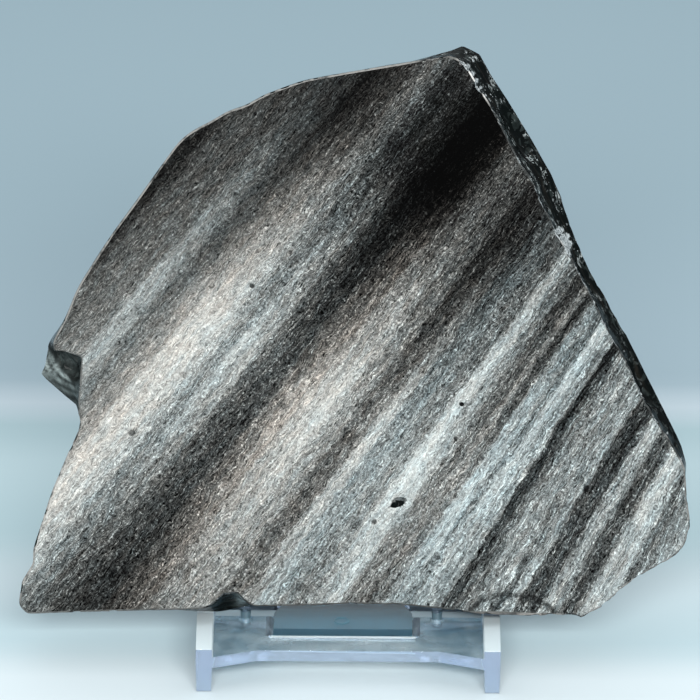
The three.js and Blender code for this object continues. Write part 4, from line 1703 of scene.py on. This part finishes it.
    def scooped(self, points: Array, scar: Scar) -> tuple[Array, Array]:
        """Points inside a scar's ellipsoid moved out to its skin, straight from its middle.

        Args:
            points: the grid.
            scar: the scar.

        Returns:
            The grid, and how far inside the ellipsoid each point was, from 0 at its skin to 1.
        """
        turn = math.radians(scar.turn)
        spin = np.array([[math.cos(turn), 0, -math.sin(turn)], [0, 1, 0],
                         [math.sin(turn), 0, math.cos(turn)]])
        local = (points - np.array(scar.at)) @ spin.T / np.array(scar.radii)
        size = np.maximum(np.linalg.norm(local, axis=-1), LEAST_LENGTH)
        inside = np.clip(1 - size, 0, 1)
        size = size[..., None]
        pushed = 1 / size - 1
        if scar.finish is Finish.POLISHED:
            pushed = pushed * smoothstep(0.0, self.floor_blend, inside)[..., None]
        lifted = np.where(size < 1, local * (1 + pushed), local)
        if scar.ripple:
            ring = np.hypot(local[..., 0] * scar.radii[0],
                            local[..., 2] * scar.radii[2] - self.ripple_offset)
            wave = scar.ripple * np.sin(ring * 2 * math.pi / self.ripple_pitch)
            wave = wave * smoothstep(0.0, self.ripple_skin, inside)
            lifted *= 1 + wave[..., None] / np.mean(scar.radii)
        return (lifted * np.array(scar.radii)) @ spin + np.array(scar.at), inside

    def flaked(self, points: Array) -> tuple[Array, Array, Array]:
        """The grid after all scars, which points a break shows at, and the painted shade in hollows.

        Args:
            points: the grid.

        Returns:
            Those three arrays.
        """
        broken = np.zeros(points.shape[:2], dtype=bool)
        hollow = np.zeros(points.shape[:2])
        skin, lip, floor_start = self.lip
        for scar in SCARS:
            points, inside = self.scooped(points, scar)
            if scar.finish is Finish.BROKEN:
                broken |= inside > SMALL_SHARE
            else:
                # Painted shade at the lips and on the floors of polished scars.
                near_lip = smoothstep(skin, lip, inside) * smoothstep(floor_start, lip, inside)
                floor = scar.shade * smoothstep(0.0, self.floor_shade_reach, inside)
                hollow = np.maximum(hollow, np.maximum(near_lip, floor))
        return points, broken, hollow

    def chipped(self, points: Array) -> tuple[Array, Array]:
        """Small chips along the front rim: more and larger ones where the rim is broken.

        Args:
            points: the grid.

        Returns:
            The grid, and 1 at points that a chip moved.
        """
        chips = self.rim_chips
        random = np.random.default_rng(self.seed + 1)
        chipped = np.zeros(points.shape[:2])
        outward = self.rim.outward(self.rim.front)
        for column in random.choice(self.columns, chips.tries, replace=False):
            strength = self.rim.shells[column]
            largest, kept = (base + more * strength for base, more in (chips.largest, chips.kept))
            size = random.uniform(chips.smallest, largest)
            if random.random() > kept:
                continue
            flat = self.rim.front[column] + outward[column] * size * random.uniform(*chips.outwards)
            at = (flat[0], random.uniform(*chips.depths), flat[1])
            bearing = math.degrees(math.atan2(outward[column, 0], outward[column, 1]))
            chip = Scar("chip", at, (size * random.uniform(*chips.lengths), size, size), bearing)
            points, inside = self.scooped(points, chip)
            chipped = np.maximum(chipped, smoothstep(0.0, chips.skin, inside))
        return points, chipped

    def worn(self, points: Array, side: Array) -> Array:
        """Fine unevenness of the side and of the rim itself, from two layers of noise.

        Args:
            points: the grid.
            side: how much each point belongs to the side.

        Returns:
            The uneven grid.
        """
        rim = np.exp(-((points[..., 1] - self.edge_depth) / self.wear_reach) ** 2)
        least = self.wear_least
        weight = np.clip(side + rim, 0, 1) * (least + (1 - least) * self.rim.shells)
        coarse, fine = self.wear_cells
        moved = points.copy()
        for axis in (0, 2):
            noise = (lattice_noise(points, coarse, self.seed + axis)
                     + 0.5 * lattice_noise(points, fine, self.seed + self.fine_seed + axis))
            moved[..., axis] += self.wear_height * noise * weight
        return moved

    def painted_glow_share(self, points: Array) -> Array:
        """How much light through thin glass is painted at the lower right, round the bottom chip and
        in
        the left break: windows in x times windows in height, a bell curve, and a ringed lobe, made
        ragged by noise.

        Args:
            points: the grid.

        Returns:
            One value from 0 to 1 for each point.
        """
        painted_glow = self.glow_zones
        x, depth, z = points[..., 0], points[..., 1], points[..., 2]
        right = smoothstep(*painted_glow.right_x, x) * smoothstep(*painted_glow.right_z, z)
        right *= painted_glow.right_share * smoothstep(*painted_glow.right_depth, depth)
        offsets = [(axis - middle) / reach for axis, middle, reach
                   in zip((x, z), painted_glow.chip_at, painted_glow.chip_reach)]
        chip = np.exp(-offsets[0] ** 2 - offsets[1] ** 2)
        ridge = sum(way * (axis - middle) for axis, middle, way
                    in zip((x, z), painted_glow.lobe_at, painted_glow.lobe_way))
        away = np.hypot(x - painted_glow.ring_at[0], z - painted_glow.ring_at[1])
        rings = 0.5 + 0.5 * np.sin(2 * math.pi * away / painted_glow.ring_pitch)
        lobe = smoothstep(*painted_glow.lobe_ridge, ridge) * smoothstep(*painted_glow.lobe_foot, z) * rings
        lobe = painted_glow.lobe_least + (1 - painted_glow.lobe_least) * lobe
        left = painted_glow.left_share * lobe * smoothstep(*painted_glow.left_x, x)
        left *= smoothstep(*painted_glow.left_foot, z) * smoothstep(*painted_glow.left_top, z)
        base, swing = painted_glow.ragged
        noise = lattice_noise(points, painted_glow.ragged_cell, self.seed + painted_glow.ragged_seed)
        strongest_glow = np.maximum.reduce([right, chip, left])
        return np.clip(strongest_glow * (base + swing * noise), 0, 1)

    def mesh(self, points: Array, finish: Array, broken: Array) -> bpy.types.Object:
        """The grid as a closed mesh: two small caps fill the middles, and each quad has a finish.

        Args:
            points: the grid.
            finish: the finish of each band of quads.
            broken: points where a break shows.

        Returns:
            The mesh object.
        """
        rows, columns = points.shape[:2]
        quads = grid_faces(rows, columns)
        flat = points.reshape(-1, 3)
        row_points = SLAB_FRAME.to_row(flat)
        caps = [row_points[:columns].mean(axis=0), row_points[-columns:].mean(axis=0)]
        vertices = np.vstack([row_points, caps])
        if signed_volume(row_points - row_points.mean(axis=0), quads) < 0:
            quads = quads[:, ::-1]
        first, last = len(flat), len(flat) + 1
        ring = np.arange(columns)
        after = (ring + 1) % columns
        bottom = (rows - 1) * columns
        front_cap = np.column_stack([np.full(columns, first), ring, after])
        back_cap = np.column_stack([np.full(columns, last), bottom + after, bottom + ring])
        if self.faces_back(vertices, front_cap):
            front_cap, back_cap = front_cap[:, ::-1], back_cap[:, ::-1]
        faces = quads.tolist() + front_cap.tolist() + back_cap.tolist()
        mesh = bpy.data.meshes.new("obsidian_stone")
        mesh.from_pydata(vertices.tolist(), [], faces)
        per_quad = np.repeat(finish, columns)
        hit = broken.reshape(-1)[quads].sum(axis=1) >= 2
        per_quad = np.where(hit, Finish.BROKEN.value, per_quad)
        slots = np.concatenate([per_quad, np.full(columns, Finish.POLISHED.value),
                                np.full(columns, Finish.SAWN.value)])
        mesh.polygons.foreach_set("material_index", slots.astype(np.int32))
        self.unwrap(mesh, points)
        mesh.shade_smooth()
        mesh.set_sharp_from_angle(angle=self.sharp_angle)
        mesh.update()
        return linked_object("obsidian_stone", mesh)

    @staticmethod
    def faces_back(vertices: Array, cap: Array) -> bool:
        """Whether the front cap's triangles look into the stone.

        Args:
            vertices: the mesh's vertices.
            cap: the front cap's triangles.

        Returns:
            True when they have to be turned round.
        """
        a, b, c = (vertices[cap[:, k]] for k in range(3))
        normal = np.cross(b - a, c - a).sum(axis=0)
        return float(normal @ SLAB_FRAME.behind()) > 0

    def unwrap(self, mesh: bpy.types.Mesh, points: Array) -> None:
        """Gives the mesh a map along the rim: length along it, and depth.

        Args:
            mesh: the slab's mesh.
            points: the grid it was made from.
        """
        count = points.shape[0] * points.shape[1]
        along = np.broadcast_to(self.rim.arc, points.shape[:2]).reshape(-1)
        plan = np.zeros((count + 2, 2))
        plan[:count, 0] = along * MAP_SCALE
        plan[:count, 1] = points[..., 1].reshape(-1) * MAP_SCALE
        layer = mesh.uv_layers.new(name="rim")
        corner = np.zeros(len(mesh.loops), dtype=np.int32)
        mesh.loops.foreach_get("vertex_index", corner)
        layer.data.foreach_set("uv", plan[corner].astype(np.float32).reshape(-1))

    @staticmethod
    def carry(piece: bpy.types.Object, name: str, values: Array) -> None:
        """Gives each vertex a number that the materials read."""
        padded = np.concatenate([values.reshape(-1), [0.0, 0.0]]).astype(np.float32)
        piece.data.attributes.new(name, "FLOAT", "POINT").data.foreach_set("value", padded)


# ---- The easel ------------------------------------------------------------------------------


@dataclass
class ClearEasel:
    """The clear moulded easel: its frame and back panel with softened edges, and the moulding
    ring on the low bar."""

    plastic: bpy.types.Material
    panel_plastic: bpy.types.Material
    edge_radius: float = 0.28
    edge_segments: int = 3
    skin_gap: float = 0.05
    join_distance: float = 0.02
    flat_angle: float = math.radians(1)
    sharp_angle: float = math.radians(32)
    ring_middle: tuple[float, float] = (-2.65, -1.93)
    ring_radius: float = 1.55
    ring_width: float = 0.22
    ring_height: float = 0.16
    ring_gap: float = 0.02
    ring_points: tuple[int, int] = (64, 12)
    bar_top: float = 3.2

    def build(self) -> list[bpy.types.Object]:
        """Builds the easel's pieces.

        Returns:
            The finished objects.
        """
        return [
            self.softened("stand_frame", "easel_frame", self.plastic),
            self.softened("stand_back_panel", "easel_back_panel", self.panel_plastic),
            self.moulding_ring(),
        ]

    def softened(self, node: str, name: str, plastic: bpy.types.Material) -> bpy.types.Object:
        """A copy of a CAD node with its flat faces joined and its edges rounded.

        Each corner is drawn in along its normal, so that two clear faces never lie in one plane.

        Args:
            node: the CAD node.
            name: the new piece's name.
            plastic: its material.

        Returns:
            The piece, which replaces the node.
        """
        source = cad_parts[node]
        mesh = bpy.data.meshes.new(name)
        work = bmesh.new()
        work.from_mesh(source.data)
        bmesh.ops.remove_doubles(work, verts=work.verts, dist=self.join_distance * MM)
        bmesh.ops.dissolve_limit(work, angle_limit=self.flat_angle, verts=work.verts,
                                 edges=work.edges)
        work.normal_update()
        inwards = [(corner, corner.normal * corner.calc_shell_factor()) for corner in work.verts]
        for corner, way in inwards:
            corner.co -= way * self.skin_gap * MM
        work.to_mesh(mesh)
        work.free()
        mesh.materials.append(plastic)
        mesh.shade_smooth()
        mesh.set_sharp_from_angle(angle=self.sharp_angle)
        piece = linked_object(name, mesh)
        bevel = piece.modifiers.new("soft_edges", "BEVEL")
        bevel.width = self.edge_radius * MM
        bevel.segments = self.edge_segments
        bevel.limit_method = "ANGLE"
        bevel.angle_limit = self.sharp_angle
        bevel.use_clamp_overlap = True
        bevel.harden_normals = True
        finish_piece(piece, "clear_plastic", node)
        return piece

    def moulding_ring(self) -> bpy.types.Object:
        """The ring left by the mould: a small rounded section carried round a circle.

        Returns:
            The ring.
        """
        around, section = self.ring_points
        turn = np.arange(around) * 2 * math.pi / around
        bend = np.arange(section) * 2 * math.pi / section
        turn, bend = np.meshgrid(turn, bend, indexing="ij")
        reach = self.ring_radius + 0.5 * self.ring_width * np.cos(bend)
        height = self.bar_top + self.ring_gap + 0.5 * self.ring_height * (1 + np.sin(bend))
        points = np.stack([self.ring_middle[0] + reach * np.cos(turn),
                           self.ring_middle[1] + reach * np.sin(turn), height], axis=-1)
        rows, columns = points.shape[:2]
        quads = grid_faces(rows + 1, columns) % (rows * columns)
        flat = points.reshape(-1, 3) * MM
        if signed_volume(flat - flat.mean(axis=0), quads) < 0:
            quads = quads[:, ::-1]
        piece = mesh_object("moulding_ring", flat, quads)
        piece.data.materials.append(self.plastic)
        piece.data.shade_smooth()
        finish_piece(piece, "clear_plastic")
        return piece


# ---- The studio -----------------------------------------------------------------------------


@dataclass(frozen=True)
class FloorTone:
    """The floor's colour at one distance behind the origin, in millimetres."""

    behind: float
    colour: Colour


@dataclass(frozen=True)
class SoftLight:
    """A large soft light: where it hangs, where it looks, its size in metres, power and colour."""

    name: str
    place: tuple[float, float, float]
    aim: tuple[float, float, float]
    size: tuple[float, float]
    power: float
    colour: Colour


@dataclass
class Studio:
    """A pale floor that darkens to grey blue behind, plain soft light and a long lens."""

    tones: tuple[FloorTone, ...] = (
        FloorTone(-60, (0.80, 0.88, 0.91)),
        FloorTone(-24, (0.74, 0.84, 0.88)),
        FloorTone(-5, (0.555, 0.71, 0.763)),
        FloorTone(25, (0.594, 0.718, 0.764)),
        FloorTone(50, (0.483, 0.644, 0.69)),
        FloorTone(85, (0.522, 0.677, 0.722)),
        FloorTone(104, (0.445, 0.60, 0.644)),
        FloorTone(116, (0.566, 0.674, 0.735)),
        FloorTone(132, (0.375, 0.495, 0.56)),
        FloorTone(250, (0.34, 0.46, 0.52)),
        FloorTone(600, (0.31, 0.43, 0.49)),
        FloorTone(1500, (0.10, 0.13, 0.15)),
    )
    floor_half: float = 9.0
    floor_roughness: float = 0.55
    floor_specular: float = 0.15
    aim: tuple[float, float, float] = (-1.26, 0.40, 65.1)
    elevation: float = math.radians(24)
    distance: float = 2200.0
    frame_width: float = 147.0
    roll: float = 0.007
    sensor: float = 36.0
    clip: tuple[float, float] = (0.05, 50.0)
    sky: Colour = (0.92, 0.965, 1.0)
    sky_way: tuple[float, float, float] = (0.0, 0.35, 0.94)
    sky_low: float = 0.22
    sky_high: float = 1.0
    sky_rise: tuple[float, float] = (0.30, 0.85)
    lights: tuple[SoftLight, ...] = (
        SoftLight("front_softbox", (0.10, -1.70, 1.01), (0.0, 0.0, 0.05), (1.2, 0.35), 40.0,
                  (1.0, 1.0, 0.985)),
    )

    def build(self) -> None:
        """Lays the floor and sets the light and the camera."""
        self.lay_floor()
        self.light_world()
        for light in self.lights:
            self.hang(light)
        self.set_camera()
        bpy.context.scene.view_settings.view_transform = "Standard"

    def lay_floor(self) -> None:
        """A flat floor in four quads."""
        side = np.linspace(-self.floor_half, self.floor_half, 3)
        x, y = np.meshgrid(side, side, indexing="ij")
        points = np.stack([x, y, np.zeros_like(x)], axis=-1).reshape(-1, 3)
        corner = np.array([0, 1, 3, 4])
        quads = np.stack([corner, corner + 3, corner + 4, corner + 1], axis=1)
        floor = mesh_object("studio_floor", points, quads)
        floor.data.materials.append(self.floor_material())

    def floor_material(self) -> bpy.types.Material:
        """Matt paint whose colour goes with the distance behind the origin.

        Returns:
            The material.
        """
        sheet = Sheet("studio_floor_paint")
        back = sheet.node("SeparateXYZ", {0: sheet.object_place()}).outputs[1]
        low, high = self.tones[0].behind * MM, self.tones[-1].behind * MM
        share = sheet.math("DIVIDE", sheet.math("SUBTRACT", back, low), high - low)
        ramp = sheet.node("ValToRGB", {0: share})
        ramp.color_ramp.interpolation = "EASE"
        stops = ramp.color_ramp.elements
        while len(stops) < len(self.tones):
            stops.new(0.5)
        for stop, tone in zip(stops, self.tones):
            stop.position = (tone.behind * MM - low) / (high - low)
            stop.color = (*tone.colour, 1.0)
        return sheet.surface({"Base Color": ramp.outputs[0], "Roughness": self.floor_roughness,
                              "Specular IOR Level": self.floor_specular})

    def light_world(self) -> None:
        """A pale sky: bright overhead and high behind, dim low down and in front."""
        world = bpy.data.worlds.new("studio_sky")
        world.use_nodes = True
        links, nodes = world.node_tree.links, world.node_tree.nodes
        sky = nodes["Background"]
        sky.inputs["Color"].default_value = (*self.sky, 1.0)
        way = nodes.new("ShaderNodeTexCoord")
        lean = nodes.new("ShaderNodeVectorMath")
        lean.operation = "DOT_PRODUCT"
        lean.inputs[1].default_value = self.sky_way
        links.new(way.outputs["Generated"], lean.inputs[0])
        share = nodes.new("ShaderNodeMapRange")
        share.interpolation_type = "SMOOTHSTEP"
        for key, value in zip(("From Min", "From Max", "To Min", "To Max"),
                              (*self.sky_rise, self.sky_low, self.sky_high)):
            share.inputs[key].default_value = value
        links.new(lean.outputs["Value"], share.inputs["Value"])
        links.new(share.outputs[0], sky.inputs["Strength"])
        bpy.context.scene.world = world

    def hang(self, light: SoftLight) -> None:
        """Hangs one soft light.

        Args:
            light: the light.
        """
        lamp = bpy.data.lights.new(light.name, "AREA")
        lamp.shape = "RECTANGLE"
        lamp.size, lamp.size_y = light.size
        lamp.energy = light.power
        lamp.color = light.colour
        hung = linked_object(light.name, lamp)
        hung.location = light.place
        way = Vector(light.aim) - Vector(light.place)
        hung.rotation_mode = "QUATERNION"
        hung.rotation_quaternion = way.to_track_quat("-Z", "Y")

    def set_camera(self) -> None:
        """Sets the camera in front, looking down a little, with a long lens."""
        camera = bpy.data.cameras.new("camera")
        camera.sensor_width = self.sensor
        camera.lens = self.sensor * self.distance / self.frame_width
        camera.clip_start, camera.clip_end = self.clip
        seat = linked_object("camera", camera)
        back = Vector((0.0, -math.cos(self.elevation), math.sin(self.elevation)))
        seat.location = (Vector(self.aim) + back * self.distance) * MM
        seat.rotation_mode = "QUATERNION"
        level = (-back).to_track_quat("-Z", "Y")
        seat.rotation_quaternion = level @ Quaternion((0.0, 0.0, 1.0), self.roll)
        bpy.context.scene.camera = seat


# ---- All together ---------------------------------------------------------------------------


def main() -> None:
    """Builds the stone, the easel and the studio, and reports each piece."""
    logging.basicConfig(level=logging.INFO, format="%(name)s: %(message)s")
    finishes = {
        Finish.POLISHED: PolishedFace().material(),
        Finish.GROUND: GroundEdge().material(),
        Finish.BROKEN: BrokenGlass().material(),
        Finish.SAWN: SawnBack().material(),
    }
    pieces = [ObsidianSlab(finishes=finishes).build()]
    # The panel's greyer surface tint and its dark foot are painted shade under the stone.
    panel = ClearPlastic("clear_panel_plastic", surface_tint=(0.86, 0.91, 0.93), front_frost=0.0,
                         plate_haze=0.0, foot_top=9.4)
    pieces += ClearEasel(ClearPlastic().material(), panel.material()).build()
    Studio().build()
    for piece in pieces:
        LOG.info("%s: %d faces", piece.name, len(piece.data.polygons))


if __name__ == "__main__":
    main()
